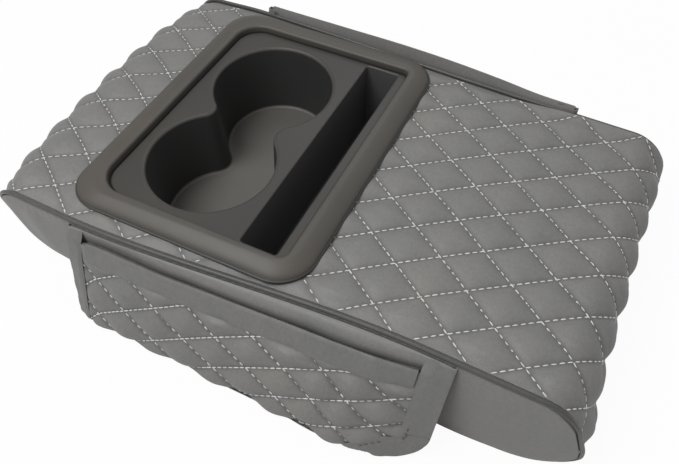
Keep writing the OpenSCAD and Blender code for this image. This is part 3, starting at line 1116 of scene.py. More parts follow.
@dataclass
class TrayForm:
    """Sizes of the cup tray."""

    low: tuple[float, float] = (-125.2, -93.3)
    high: tuple[float, float] = (23.4, 98.0)
    corner: float = 21.0
    rim_height: float = 6.0
    rim_widths: tuple[float, float] = (12.7, 15.5)
    rim_end_width: float = 15.2
    rim_slot_width: float = 13.9
    skew: float = 0.025
    top_z: float = 68.0
    plate_z: float = 69.5
    floor_z: float = 19.5
    wall: float = 2.2
    cup_r: float = 37.9
    cup_x: float = -64.4
    cup_ys: tuple[float, float] = (-35.7, 35.5)
    fillets: tuple[float, float] = (8.0, 11.0)
    slot_low: tuple[float, float] = (-19.0, -78.2)
    slot_high: tuple[float, float] = (3.2, 79.8)

    def skewed(self, loop: Points) -> Points:
        """The loop, turned as the tray lies: lines across the pad stay, the others rise."""
        middle = (self.low[0] + self.high[0]) / 2
        return np.column_stack([loop[:, 0], loop[:, 1] + self.skew * (loop[:, 0] - middle)])

    def outer_loop(self, grow: float = 0.0) -> Points:
        """Outline of the rim's foot."""
        return self.skewed(rounded_loop(self.low, self.high, [self.corner] * 4, grow))

    def recess_loop(self, grow: float = 0.0) -> Points:
        """Outline of the recess inside the rim."""
        low = (self.low[0] + self.rim_end_width, self.low[1] + self.rim_widths[0])
        high = (self.high[0] - self.rim_slot_width, self.high[1] - self.rim_widths[1])
        return self.skewed(rounded_loop(low, high, [4.5, 16.0, 16.0, 4.5], grow))

    def slot_loop(self, grow: float = 0.0) -> Points:
        """Outline of the slot."""
        return self.skewed(rounded_loop(self.slot_low, self.slot_high, [1.8] * 4, grow, 6))

    def wells_loop(self, grow: float = 0.0) -> Points:
        """Outline of the two joined wells, counter-clockwise from the waist's right side.

        Args:
            grow: How far the outline is moved outwards.

        Returns:
            Points of the outline, the same number for any grow.
        """
        mid = sum(self.cup_ys) / 2
        half = (self.cup_ys[1] - self.cup_ys[0]) / 2
        r = self.cup_r + grow
        left, right = self.fillets
        reach = [math.sqrt((self.cup_r + f) ** 2 - half**2) for f in (left, right)]
        turn = [math.atan2(half, reach[0]), math.atan2(half, reach[1])]
        parts = []

        def arc(cx: float, cy: float, radius: float, start: float, end: float, steps: int) -> None:
            """Adds an arc without its last point."""
            t = np.linspace(start, end, steps, endpoint=False)
            parts.append(np.stack([cx + radius * np.cos(t), cy + radius * np.sin(t)], -1))

        pi = math.pi
        arc(self.cup_x, self.cup_ys[1], r, -turn[1], pi + turn[0], 72)
        arc(self.cup_x - reach[0], mid, left - grow, turn[0], -turn[0], 10)
        arc(self.cup_x, self.cup_ys[0], r, pi - turn[0], 2 * pi + turn[1], 72)
        arc(self.cup_x + reach[1], mid, right - grow, pi + turn[1], pi - turn[1], 14)
        return np.concatenate(parts)


class ShellMaker:
    """Collects swept strips and flat fills into one closed shell."""

    def __init__(self) -> None:
        """Starts with nothing."""
        self.vertices: list[Points] = []
        self.faces: list[tuple[int, ...]] = []
        self.ids: list[int] = []
        self.count = 0

    def ring(self, loop: Points, z: Union[float, Points]) -> Points:
        """Adds a loop at a height and returns its vertex numbers."""
        heights = np.broadcast_to(np.asarray(z, float), (len(loop),))
        self.vertices.append(np.column_stack([loop, heights]))
        start = self.count
        self.count += len(loop)
        return np.arange(start, self.count)

    def strip(self, first: Points, second: Points, material: int) -> None:
        """Joins two rings; the face points away from the loop's inside when second is lower."""
        for i in range(len(first)):
            j = (i + 1) % len(first)
            self.faces.append((first[i], second[i], second[j], first[j]))
            self.ids.append(material)

    def sweep(self, rings: Sequence[Points], materials: Sequence[int]) -> None:
        """Joins each ring with the next one."""
        for k in range(len(rings) - 1):
            self.strip(rings[k], rings[k + 1], materials[min(k, len(materials) - 1)])

    def fill(self, rings: Sequence[Points], upwards: bool, material: int) -> None:
        """Fills the flat region between an outer ring and the holes in it.

        Args:
            rings: Vertex numbers of the outer ring and then of each hole.
            upwards: Whether the faces look up.
            material: Slot of the faces.
        """
        every = np.concatenate(self.vertices)
        numbers = np.concatenate(rings)
        flat = [Vector(every[n][:2]) for n in numbers]
        edges, start = [], 0
        for ring in rings:
            n = len(ring)
            edges += [(start + i, start + (i + 1) % n) for i in range(n)]
            start += n
        _, _, triangles, origin, _, _ = delaunay_2d_cdt(flat, edges, [], 0, 1e-7)
        centres = every[:, :2]
        polygons = [centres[ring] for ring in rings]
        for triangle in triangles:
            corner = [numbers[origin[v][0]] for v in triangle]
            middle = centres[corner].mean(0)
            if not inside(middle, polygons[0]) or any(inside(middle, hole) for hole in polygons[1:]):
                continue
            a, b, c = centres[corner]
            area = (b[0] - a[0]) * (c[1] - a[1]) - (b[1] - a[1]) * (c[0] - a[0])
            if (area > 0) != upwards:
                corner = corner[::-1]
            self.faces.append(tuple(corner))
            self.ids.append(material)

    def make(self, name: str, materials: Sequence[bpy.types.Material], sharp_deg: float) -> bpy.types.Object:
        """Makes the object."""
        return MeshKit.make(
            name, np.concatenate(self.vertices), self.faces, materials, self.ids, None, sharp_deg
        )


def inside(point: Points, polygon: Points) -> bool:
    """Whether a point lies inside a closed outline."""
    x, y = point
    a, b = polygon, np.roll(polygon, -1, axis=0)
    crosses = (a[:, 1] > y) != (b[:, 1] > y)
    with np.errstate(divide="ignore", invalid="ignore"):
        at = a[:, 0] + (y - a[:, 1]) * (b[:, 0] - a[:, 0]) / (b[:, 1] - a[:, 1])
    return bool(np.count_nonzero(crosses & (x < at)) % 2)


# Sub-assemblies


@dataclass
class SubAssembly:
    """What every sub-assembly shares: the pad's form, the finishes and the sewing."""

    pad: PadForm
    finishes: Finishes
    stitcher: Stitcher

    def done(
        self, obj: bpy.types.Object, slot: str, *replaced: str
    ) -> bpy.types.Object:
        """Attaches a finished piece to the root body, hides the CAD nodes it stands for and logs its faces.

        Args:
            obj: The piece.
            slot: Material slot of the record; not used.
            replaced: CAD nodes that it stands for.

        Returns:
            The piece.
        """
        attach(obj, "root")
        if replaced:
            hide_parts(*replaced)
        LOG.info("%s: %d faces", obj.name, len(obj.data.polygons))
        return obj


@dataclass
class QuiltedCover(SubAssembly):
    """The padded cover over the top and down both ends, with its stitches."""

    quilting: Quilting = field(default_factory=Quilting)
    tray: TrayForm = field(default_factory=TrayForm)
    drift_full: float = 12.5
    cross_s: float = 137.5
    cross_y: float = 86.0
    edge_margin: float = 3.5
    edge_drop: float = 3.4
    edge_roll: float = 9.0
    cord_lap: float = 3.2
    tray_press: float = 0.3
    tray_relief: float = 0.55
    end_margin: float = 6.0
    side_margin: float = 0.9
    thread_lift: float = 0.12
    step: float = 1.35

    COVER_SLACK = (Ripple(SLACK, (31.0, 23.0), 0.35, (7.3, 2.1)), Ripple(SLACK, (9.0, 8.0), 0.1))
    # How far in under the rim the seams go: at the pad's end, at the slot, in front and at the rear
    SEAMS_END = (0.5, 0.5, 1.5, 1.5)
    # How far the window in the cover stands out beyond the tray's recess at the same four places
    WINDOW_ROOM = (4.0, 4.0, 5.5, 5.5)

    def pattern(self, s: Points, x: Points, y: Points) -> tuple[Points, Points]:
        """Place on the flat quilting pattern."""
        drift = self.drift_full * (1 - self.pad.taper(x))
        return s - self.cross_s, y - self.cross_y + drift

    def edge(self, x: Points, side: Side, z: Points) -> Points:
        """Edge of the cover beside the piping."""
        return self.pad.side_y(x, side) + side.value * (self.pad.lean(x, z, side) - self.edge_margin)

    def surface(self, s: Points, y: Points) -> tuple[Points, Points]:
        """Outside of the cover.

        Args:
            s: Length over the surface along the pad.
            y: Place across the pad.

        Returns:
            Points in millimetres, and closeness to a seam.
        """
        x0, z0, _, _ = self.pad.section(s, 0.0)
        u, v = self.pattern(s, x0, y)
        height, near = self.quilting.relief(u, v)
        low_y, high_y = self.edge(x0, Side.FRONT, z0), self.edge(x0, Side.REAR, z0)
        reach = np.minimum(y - low_y, high_y - y)
        roll = smooth(reach / self.edge_roll) ** 0.8
        slack = rippled(self.COVER_SLACK, s, y)
        depth = self.quilting.depth * (1 - height) + slack * height
        low, high = self.tray.low, self.tray.high
        over = np.minimum(
            np.minimum(x0 - low[0], high[0] - x0), np.minimum(y - low[1], high[1] - y)
        )
        pressed = smooth((over + 5.0) / 6.0) * (np.abs(s) < self.pad.top_centre)
        depth = mix(depth, self.tray_press + self.tray_relief * depth, pressed)
        over_cord = smooth((x0 - 70) / 50) * (y > 0)
        depth = mix(self.edge_drop - self.cord_lap * over_cord, depth, roll)
        x, z, _, _ = self.pad.section(s, depth)
        across = (2 * y - low_y - high_y) / (high_y - low_y)
        x = self.pad.flared(x, x0, z0, across) + self.pad.swell(s, across, z0)
        z = self.pad.sunk(x0, y, z)
        return np.stack(np.broadcast_arrays(x, y, z), -1), near * smooth(reach / 2.0)

    def under_tray(self, s: Points, x: Points, y: Points, insets: Sequence[float]) -> Points:
        """Whether places lie under the tray.

        Args:
            s: Length over the surface along the pad.
            x: Place along the pad.
            y: Place across the pad.
            insets: Way in from the rim's foot at the pad's end, at the slot, in front and at the rear.

        Returns:
            True for each place that lies further in.
        """
        (low_x, low_y), (high_x, high_y) = self.tray.low, self.tray.high
        end, slot, front, rear = insets
        along = (x > low_x + end) & (x < high_x - slot) & (np.abs(s) < self.pad.top_centre)
        return along & (y > low_y + front) & (y < high_y - rear)

    def build(self) -> None:
        """Builds the cover and its stitches."""
        pad = self.pad
        n_s = int(2 * pad.half_girth / self.step)
        n_y = int(pad.width / self.step)
        s = np.linspace(-pad.half_girth, pad.half_girth, n_s + 1)[:, None]
        x0, z0, _, _ = pad.section(s, 0.0)
        t = np.linspace(0, 1, n_y + 1)[None, :]
        y = mix(self.edge(x0, Side.FRONT, z0), self.edge(x0, Side.REAR, z0), t)
        s, y = np.broadcast_arrays(s, y)
        outer, near = self.surface(s, y)
        xi, zi, _, _ = pad.section(s, pad.cover_t - 0.2)
        xi, zi = pad.flared(xi, x0, z0, 2 * t - 1), pad.sunk(x0, y, zi)
        inner = np.stack(np.broadcast_arrays(xi, y, zi), -1)
        mid_x = (x0[:-1] + x0[1:]) / 2
        mid_y = (y[:-1, :-1] + y[1:, 1:]) / 2
        rims = (self.tray.rim_end_width, self.tray.rim_slot_width, *self.tray.rim_widths)
        insets = [rim - room for rim, room in zip(rims, self.WINDOW_ROOM)]
        window = self.under_tray(s[:-1, :-1], mid_x, mid_y, insets)
        cover = MeshKit.sheet(
            "quilted_cover_skin", outer, inner, self.finishes.quilt, ~window, near
        )
        self.done(cover, "quilted_leather", "quilted_cover")
        stitches = self.stitcher.sew("quilt_stitches", self.seam_runs())
        self.done(stitches, "quilted_leather")

    def seam_runs(self) -> list[tuple[Points, Points]]:
        """Seams of both directions, cut at the tray and at the edges.

        Returns:
            Points and outward directions of each run.
        """
        pad, runs = self.pad, []
        reach = int((pad.half_girth + 100) / self.quilting.length + pad.width / self.quilting.width) + 2
        s = np.arange(-pad.half_girth + self.end_margin, pad.half_girth - self.end_margin, 1.0)
        x0, z0, _, _ = pad.section(s, 0.0)
        front, rear = self.edge(x0, Side.FRONT, z0), self.edge(x0, Side.REAR, z0)
        drift = self.drift_full * (1 - pad.taper(x0))
        for direction in (1, -1):
            for k in range(-reach, reach + 1):
                v = direction * self.quilting.width * (k - (s - self.cross_s) / self.quilting.length)
                y = v + self.cross_y - drift
                clear = np.minimum(y - front, rear - y) > self.side_margin
                under = self.under_tray(s, x0, y, self.SEAMS_END)
                runs += self.pieces_of(s, y, clear & ~under)
        return runs

    def pieces_of(self, s: Points, y: Points, there: Points) -> list[tuple[Points, Points]]:
        """Cuts one seam into the stretches that are there."""
        runs = []
        for part in stretches(there, 4):
            line, _ = self.surface(s[part], y[part])
            _, _, nx, nz = self.pad.section(s[part], 0.0)
            lift = np.stack([nx, 0 * nx, nz], -1)
            runs.append((line + lift * self.thread_lift, lift))
        return runs


@dataclass
class SideDressing(SubAssembly):
    """The plain gusset and the piping cord of one side."""

    side: Side = Side.FRONT
    lowest: float = 0.7
    fullness: float = 2.6
    pucker_pitch: float = 5.5
    seam_allowance: float = 2.8
    cord_end: float = math.radians(40)

    FOLDS = (Ripple(WRINKLE, (11.0, 60.0), 0.55, (0.0, 1.5)), Ripple(WRINKLE, (31.0, 26.0), 0.7, (9.0, 0.0)))
    PUCKER_DRIFT = Ripple(SLACK, (17.0, 11.0), 2.0)

    def build(self) -> None:
        """Builds the gusset and the cord."""
        self.gusset()
        self.cord()

    def gusset(self) -> None:
        """The plain side panel, crowned over its foam and slack near its ends."""
        pad, sign = self.pad, self.side.value
        inset = pad.piping_inset + pad.piping_r + 0.1
        s = np.linspace(pad.top_centre, pad.half_girth - 0.5, 60)
        xe, ze, _, _ = pad.section(s, inset)
        foot = pad.base_radius
        ze = np.where(ze < foot, foot - (foot - ze) * (foot - self.lowest) / (foot - inset), ze)
        ze = np.clip(ze, self.lowest, None)
        x = xe[None, :] * np.linspace(-1, 1, 300)[:, None]
        z = np.broadcast_to(ze[None, :], x.shape)
        y0 = pad.side_y(x, self.side)
        up = (z - ze.min()) / (ze.max() - ze.min())
        end = smooth((xe.max() - np.abs(x)) / 14.0)
        crown = self.fullness * (1 - np.abs(2 * up - 1) ** 2.6) * end
        folds = rippled(self.FOLDS, x, z) * smooth(up / 0.2) * smooth((1 - up) / 0.15) * end
        pucker = np.cos(2 * math.pi * x / self.pucker_pitch + self.PUCKER_DRIFT.at(x, z)) * 0.12
        lean = pad.lean(x, z, self.side)
        bulge = crown + folds + pucker * (1 - smooth((1 - up) / 0.22)) + lean
        behind = lean - pad.side_t + 0.1 - self.seam_allowance * smooth((up - 0.86) / 0.1)
        x = x + pad.flare(x, z, self.side)
        z = pad.sunk(x, y0, z)
        outer = np.stack([x, y0 + sign * bulge, z], -1)
        inner = np.stack([x, y0 + sign * behind, z], -1)
        obj = MeshKit.sheet(
            f"{self.side.label}_gusset", outer, inner, self.finishes.plain, turned=self.side is Side.REAR
        )
        self.done(obj, "plain_leather", f"{self.side.label}_side_panel")

    def cord(self) -> None:
        """The piping: a cord in leather, swept by Geometry Nodes along the edge."""
        pad, sign = self.pad, self.side.value
        end = pad.half_girth - pad.base_radius * self.cord_end
        s = np.concatenate(
            [
                np.linspace(-end, -pad.top_centre, 60, endpoint=False),
                np.linspace(-pad.top_centre, pad.top_centre, 170, endpoint=False),
                np.linspace(pad.top_centre, end, 60),
            ]
        )
        x, z, _, _ = pad.section(s, pad.piping_inset)
        y = pad.side_y(x, self.side) + sign * (pad.lean(x, z, self.side) - pad.piping_r + 0.1)
        line = np.stack([x + pad.flare(x, z, self.side), y, pad.sunk(x, y, z)], -1)
        sweep = CordSweep(self.finishes.piping)
        made = sweep.run(f"{self.side.label}_piping_cord", [line], None, {"radius": pad.piping_r})
        self.done(made, "piping", f"{self.side.label}_piping")


class TraySlot(IntEnum):
    """Material slots of the moulding: the rim's plastic, black for painted shade, the plate's darker painted
    shade, the slot's plastic and the wells' floors lightened as painted light.
    """

    SATIN = 0
    BLACK = 1
    PLATE = 2
    SLOT = 3
    FLOOR = 4


@dataclass(frozen=True)
class HoleShape:
    """Section of a hole in the tray's plate, in millimetres, and the slots of its faces."""

    rounding: float
    fillet: float
    draft: float
    wall: TraySlot
    floor: TraySlot


@dataclass
class CupTray(SubAssembly):
    """The moulded tray with its rim, recessed plate, two wells and slot."""

    form: TrayForm = field(default_factory=TrayForm)
    rim_edge: float = 1.9

    # The wells' walls are painted black as shade and their floors lightened as painted light.
    WELLS = HoleShape(2.0, 1.6, 2.6, TraySlot.BLACK, TraySlot.FLOOR)
    CARD_SLOT = HoleShape(1.0, 1.2, 0.8, TraySlot.SLOT, TraySlot.SLOT)
    # Section of the rim's underside, painted black as the shadow at its foot: way out from its foot and
    # height over the quilting
    LIP = ((0.7, -0.9), (0.9, 0.3), (0.5, 0.6))
    # Section of its outer slope: way in from the foot and height over the quilting
    SLOPE = (
        (0.0, 0.75), (0.2, 1.4), (0.7, 2.05), (1.6, 2.75), (2.8, 3.45), (4.2, 4.1),
        (5.8, 4.75), (7.4, 5.3), (8.9, 5.75), (10.0, 6.0),
    )
    # Section of the groove round the plate, its walls and bottom painted black as shade: way out from the
    # recess and height over the plate
    GROOVE = ((0.0, 0.5), (-0.1, -0.9), (-1.0, -0.9), (-1.1, -0.15), (-1.3, 0.0))

    def build(self) -> None:
        """Builds the moulding as one closed shell."""
        f, shell, slots = self.form, ShellMaker(), TraySlot
        outer, recess = f.outer_loop(), f.recess_loop()
        rings = [shell.ring(f.outer_loop(grow), f.top_z + rise) for grow, rise in self.LIP]
        # The foot takes the black: a painted shadow where the rim meets the quilting.
        ids = [slots.BLACK] * len(self.LIP)
        way_in = unit(recess - outer)
        width = np.linalg.norm(recess - outer, axis=1)
        for across, rise in self.SLOPE:
            rings.append(shell.ring(outer + way_in * across, f.top_z + rise))
        slope_end, edge, rim_z = self.SLOPE[-1][0], self.rim_edge, f.top_z + f.rim_height
        across = slope_end + (width - slope_end - edge) * 0.5
        rings.append(shell.ring(outer + way_in * across[:, None], rim_z))
        for left, gone in quarter_turn(6, 0):
            rings.append(shell.ring(f.recess_loop(edge * left), rim_z - edge * gone))
        ids += [slots.SATIN] * (len(rings) - 1 - len(ids))
        for grow, rise in self.GROOVE:
            rings.append(shell.ring(f.recess_loop(grow), f.plate_z + rise))
        # The groove's walls and bottom are painted black as shade.
        ids += [slots.SATIN] + [slots.BLACK] * 3 + [slots.PLATE]
        shell.sweep(rings, ids)
        plate_edge = rings[-1]
        wells = self.hole(shell, f.wells_loop, self.WELLS)
        slot = self.hole(shell, f.slot_loop, self.CARD_SLOT)
        shell.fill([plate_edge, wells[0], slot[0]], True, slots.PLATE)
        under = f.plate_z - f.wall
        skirt = [
            rings[0],
            shell.ring(f.recess_loop(f.wall), f.top_z - 0.4),
            shell.ring(f.recess_loop(f.wall), under - 2.0),
            shell.ring(f.recess_loop(0.4), under - 2.0),
            shell.ring(f.recess_loop(0.4), under),
        ]
        for first, second in zip(skirt[1:], skirt[:-1]):
            shell.strip(first, second, slots.SATIN)
        shell.fill([skirt[-1], wells[1], slot[1]], False, slots.SATIN)
        looks = self.finishes
        finishes = [looks.tray, looks.well, looks.plate, looks.slot, looks.floor]
        obj = shell.make("cup_tray_moulding", finishes, 50.0)
        self.done(obj, "tray_plastic", "cup_tray")

    def hole(
        self, shell: ShellMaker, loop: Callable[[float], Points], shape: HoleShape
    ) -> tuple[Points, Points]:
        """Adds one hole: rounded edge, wall, filleted floor and the outside wall.

        Args:
            shell: Shell that takes the faces.
            loop: Outline of the hole, grown by a given amount.
            shape: Its section.

        Returns:
            The ring in the plate and the ring in the plate's underside.
        """
        f, rounding, fillet, draft = self.form, shape.rounding, shape.fillet, shape.draft
        rings, ids = [shell.ring(loop(rounding), f.plate_z)], []
        # The rounding's lower steps take the rim's lighter plastic: a painted highlight along the hole's
        # edge.
        for k, (left, gone) in enumerate(quarter_turn(6)):
            rings.append(shell.ring(loop(rounding * left), f.plate_z - rounding * gone))
            ids.append(TraySlot.SATIN if k > 1 else TraySlot.PLATE)
        rings.append(shell.ring(loop(-draft), f.floor_z + fillet))
        ids.append(shape.wall)
        for left, gone in quarter_turn(5):
            rings.append(shell.ring(loop(-draft - fillet * gone), f.floor_z + fillet * left))
            ids.append(shape.floor)
        shell.sweep(rings, ids)
        shell.fill([rings[-1]], True, shape.floor)
        outside = [
            shell.ring(loop(f.wall), f.plate_z - f.wall),
            shell.ring(loop(f.wall - draft), f.floor_z - f.wall),
        ]
        shell.strip(outside[1], outside[0], TraySlot.SATIN)
        shell.fill([outside[1]], False, TraySlot.SATIN)
        return rings[0], outside[0]


@dataclass(frozen=True)
class TapeShape:
    """Section of a folded tape in millimetres: its widths, thickness and depth of the inside layer."""

    outside: float
    inside: float
    rise: float
    inner_drop: float


@dataclass
class Pouch(SubAssembly):
    """A bound pouch on one long side: plain back, quilted face, hem and binding."""

    tape_stitcher: Stitcher
    side: Side = Side.FRONT
    quilting: Quilting = field(default_factory=lambda: Quilting(depth=4.5, power=1.7))
    half: float = 112.0
    shift: float = 3.5
    face_t: float = 3.0
    back_t: float = 1.0
    binding_shape: TapeShape = TapeShape(14.5, 5.0, 0.7, 3.2)
    hem_shape: TapeShape = TapeShape(12.0, 7.0, 0.6, 2.6)
    tray_end_narrower: float = 2.5
    corners: tuple[float, float] = (14.0, 16.0)
    spread: float = 130.2
    mouth_z: float = 57.5
    phase: tuple[float, float] = (12.1, 5.2)
    foot_z: float = 2.0
    foot_radius: float = 5.5
    belly: float = 2.0
    foot_tuck: float = 13.0
    tape_seam: float = 3.2
    back_gap: float = 0.9
    # How far the sewing has fanned out each family of seams, and the length down at which it turns
    fans: tuple[float, float] = (0.0185, 0.006)
    pivots: tuple[float, float] = (55.0, 42.0)
    slip: float = 0.3

    STITCHES = {"steep": (-1, Stitch(4.4, 2.6, 0.9, 0.6)), "shallow": (1, Stitch(3.9, 3.65, 0.9, 0.6))}
    TAPE_STITCH = Stitch(3.4, 2.2, 0.6, 0.4)
    FACE_SLACK = (Ripple(SLACK, (23.0, 15.0), 0.25, (3.0, 5.0)), Ripple(WRINKLE, (7.0, 10.0), 0.14))
    TAPE_CREASES = (Ripple(WRINKLE, (4.0, 9.0), 0.35), Ripple(WRINKLE, (1.0, 5.0), 0.15, (5.5, 0.0)))
    BACK_SLACK = Ripple(SLACK, (19.0, 0.2), 0.35)
    # Places along the pouch and how far its mouth stands off the side there
    MOUTH = (
        (-112, -96, -82, -65, -49, -25, 5, 30, 58, 75, 88, 100, 112),
        (6.0, 5.8, 5.6, 6.4, 7.6, 8.4, 9.8, 10.6, 11.1, 10.6, 9.2, 7.4, 6.0),
    )
    # The same for how far its foot stands out beyond a straight line
    FOOT = (
        (-112, -100, -80, -50, -20, 15, 45, 68, 80, 88, 92, 98, 105, 112),
        (-0.5, 2.0, 2.2, 1.8, 1.4, 0.9, 1.4, 1.0, -1.2, -3.6, -5.4, -8.4, -11.6, -14.4),
    )

    # Places along the pad and the height of the rear back's top edge there
    REAR_TOP = ((-112, -52, 0, 22, 64, 91, 115), (69.4, 70.8, 72.4, 72.4, 70.6, 68.4, 68.2))
    # Shares of the back that stand up and that are rolled out, before the rest hangs down
    STANDS, ROLLS = 0.12, 0.18
    # Way out and way up of the bound ends where they go on past the piping
    ENDS_GO = (0.25, 0.97)
    # Lowest heights over the floor: of the face's middle, outside, inside, tape, its skin and the thread
    LOW_MIDDLE, LOW_OUTSIDE, LOW_INSIDE, LOW_TAPE, LOW_SKIN, LOW_THREAD = 1.3, 0.4, 1.2, 0.9, 0.2, 0.7

    @property
    def hook(self) -> tuple[float, float]:
        """Reach and height of the place under the piping where the back is sewn on."""
        return (0.9, 64.0) if self.side is Side.FRONT else (1.2, 63.6)

    @property
    def rise(self) -> tuple[float, float]:
        """How far the two bound ends go on above the mouth."""
        return (8.4, 9.2) if self.side is Side.FRONT else (12.0, 13.6)

    def x_of(self, u: Points) -> Points:
        """Place along the pad of a place along the pouch."""
        return self.side.value * (self.shift - u)

    def drawn_in(self, u: Points, v: Points) -> Points:
        """How far the pouch's end beside the tray is drawn in along the pad."""
        share = 1.0 if self.side is Side.FRONT else 0.15
        return share * np.clip(-90 - u, 0, None) * (0.24 + 0.13 * smooth(v / 50))

    def tape_width(self, u: Points) -> Points:
        """Width of the binding at a place along the pouch."""
        full = self.binding_shape.outside
        return np.where(np.asarray(u) < 0, full - self.tray_end_narrower, full)

    def corner_at(self, u: Points) -> Points:
        """Radius of the lower corner on this half of the pouch."""
        return np.where(np.asarray(u) < 0, self.corners[0], self.corners[1])

    def profile(self, u: Points) -> tuple[Points, Points, Points, Points]:
        """Mouth and foot of the face's outside at a place along the pouch.

        Args:
            u: Place along the pouch; the plain end of the pad is at +half in front.

        Returns:
            Reach and height of the mouth, reach of the foot and the length tucked under.
        """
        mouth_reach = curve_through(*self.MOUTH, u)
        line = curve_through(*self.FOOT, u)
        foot_reach = self.spread + line - np.abs(self.pad.side_y(self.x_of(u), self.side))
        tuck = self.foot_tuck * (1 - smooth((u - 66) / 26))
        return mouth_reach, self.mouth_z + 0 * mouth_reach, foot_reach, tuck

    def length_at(self, u: Points) -> Points:
        """Length of the face from the mouth to its foot edge."""
        reach, z, foot, tuck = self.profile(u)
        return np.hypot(foot - reach, z - self.foot_z) + tuck

    def surface(self, u: Points, v: Points) -> Points:
        """Middle of the pouch's face.

        Args:
            u: Place along the pouch.
            v: Length down from the mouth; above it the ends run up to the piping.

        Returns:
            Points in millimetres.
        """
        u, v = np.broadcast_arrays(np.asarray(u, float), np.asarray(v, float))
        reach0, z0, foot, tuck = self.profile(u)
        straight = np.hypot(foot - reach0, z0 - self.foot_z)
        slope = np.arctan2(foot - reach0, z0 - self.foot_z)
        radius = self.foot_radius
        turn_at = straight - radius * 0.9
        # From the mouth the face falls straight, with a belly
        a = np.clip(v, 0, turn_at)
        reach = reach0 + a * np.sin(slope)
        z = z0 - a * np.cos(slope)
        belly = np.sin(np.pi * np.clip(v / straight, 0, 1)) * self.belly * self.middle(u)
        reach = reach + belly * np.cos(slope)
        z = z + belly * np.sin(slope)
        # At the foot it turns in under itself and runs on as the tuck
        bend = (math.pi / 2 + slope) * np.clip(tuck / 8.0, 0, 1)
        over = np.clip(v - turn_at, 0, None)
        arc = np.minimum(over / radius, bend)
        direction = slope - arc
        reach = reach + radius * (np.cos(direction) - np.cos(slope))
        z = z - radius * (np.sin(slope) - np.sin(direction))
        rest = over - arc * radius
        reach = reach + rest * np.sin(slope - bend)
        z = z - rest * np.cos(slope - bend)
        # Above the mouth it runs up to the piping and on past it
        back, lift = self.hook[0] - reach0, self.hook[1] - z0
        far = np.hypot(back, lift)
        up = np.clip(-v, 0, far)
        beyond = np.clip(-v - far, 0, None)
        reach = reach + up * back / far + beyond * self.ENDS_GO[0]
        z = z + up * lift / far + beyond * self.ENDS_GO[1]
        z = np.maximum(z, self.LOW_MIDDLE)
        x = self.x_of(u + self.drawn_in(u, v))
        y = self.pad.side_y(x, self.side) + self.side.value * reach
        return np.stack(np.broadcast_arrays(x, y, z), -1)

    def middle(self, u: Points) -> Points:
        """0 at the ends and 1 over the middle."""
        return smooth((self.half - 6 - np.abs(u)) / 40.0)

    def spot(self, a: Points, b: Points) -> tuple[Points, Points]:
        """Place on the pouch of a place in the unit square, with round lower corners.

        Args:
            a: From 0 at one end to 1 at the other.
            b: From 0 at the mouth to 1 at the foot.

        Returns:
            Place along the pouch and length down from the mouth.
        """
        u = (2 * a - 1) * self.half
        r = self.corner_at(u)
        c = np.clip(r - (self.half - np.abs(u)), 0, r)
        drop = r - np.sqrt(np.maximum(r**2 - c * c, 0))
        return u, b * (self.length_at(u) - drop)

    def grid(self, nu: int, nv: int) -> tuple[Points, Points, Points, Points]:
        """Grid of the face, closer at the ends: places and points with outward directions."""
        a = np.linspace(0, 1, nu)
        a = np.clip(a - 0.012 * np.sin(4 * np.pi * a), 0, 1)
        u, v = self.spot(a[:, None], np.linspace(0, 1, nv)[None, :])
        u = np.broadcast_to(u, v.shape)
        points = self.surface(u, v)
        return u, v, points, self.outward(u, v)

    def outward(self, u: Points, v: Points) -> Points:
        """Outward direction of the face, from steps to both sides of each place."""
        d = 0.6
        du = self.surface(u + d, v) - self.surface(u - d, v)
        dv = self.surface(u, v + d) - self.surface(u, v - d)
        normal = unit(np.cross(du, dv))
        probe = np.take(normal[..., 1], normal[..., 1].size // 2) * self.side.value
        return normal if probe > 0 else -normal

    def pull(self, u: Points) -> tuple[Points, Points, Points]:
        """How the sewing has pulled the two families of seams askew along the pouch."""
        first = self.fans[0] * (np.clip(u + self.half, 0, None) / 207) ** 1.6
        return first, self.fans[1] * smooth((u + 60) / 60), self.slip * smooth((u - 35) / 55)

    def seam(self, k: float, direction: int, u: Points) -> Points:
        """Length down the face at which a seam lies at a place along the pouch.

        Args:
            k: Number of the seam.
            direction: +1 for the seams that rise to the right, -1 for the others.
            u: Place along the pouch.

        Returns:
            The length below the mouth.
        """
        q, (first, second, shift) = self.quilting, self.pull(u)
        along, down = (u + self.phase[0]) / q.length, self.phase[1] / q.width
        if direction > 0:
            return (k - along - down + self.pivots[0] * first) / (1 / q.width + first)
        return (along - down + self.pivots[1] * second + shift - k) / (1 / q.width + second)

    def puff(self, u: Points, v: Points) -> tuple[Points, Points]:
        """Relief of the quilting on the pouch.

        Args:
            u: Place along the pouch.
            v: Length down from the mouth.

        Returns:
            Lift of the outside over the face's middle, and closeness to a seam.
        """
        first, second, shift = self.pull(u)
        p, q = self.quilting.pq(u + self.phase[0], v + self.phase[1])
        p, q = p + first * (v - self.pivots[0]), q - second * (v - self.pivots[1]) + shift
        height, near = self.quilting.relief_at(p, q)
        edge = self.edge_distance(u, v)
        binding, hem = self.binding_shape.outside, self.hem_shape.outside
        fade = smooth((edge - binding * 0.6) / 9.0) * smooth((v - hem * 0.8) / 5.0)
        shown = smooth((v - hem) / 2.0)
        return 0.1 + self.quilting.depth * (height - 0.35) * fade, near * shown

    def edge_distance(self, u: Points, v: Points) -> Points:
        """Distance in from the bound edge."""
        side = self.half - np.abs(u)
        foot = self.length_at(u) - v
        c = self.corner_at(u)
        corner = c - np.hypot(np.maximum(c - side, 0), np.maximum(c - foot, 0))
        return np.where((side < c) & (foot < c), corner, np.minimum(side, foot))

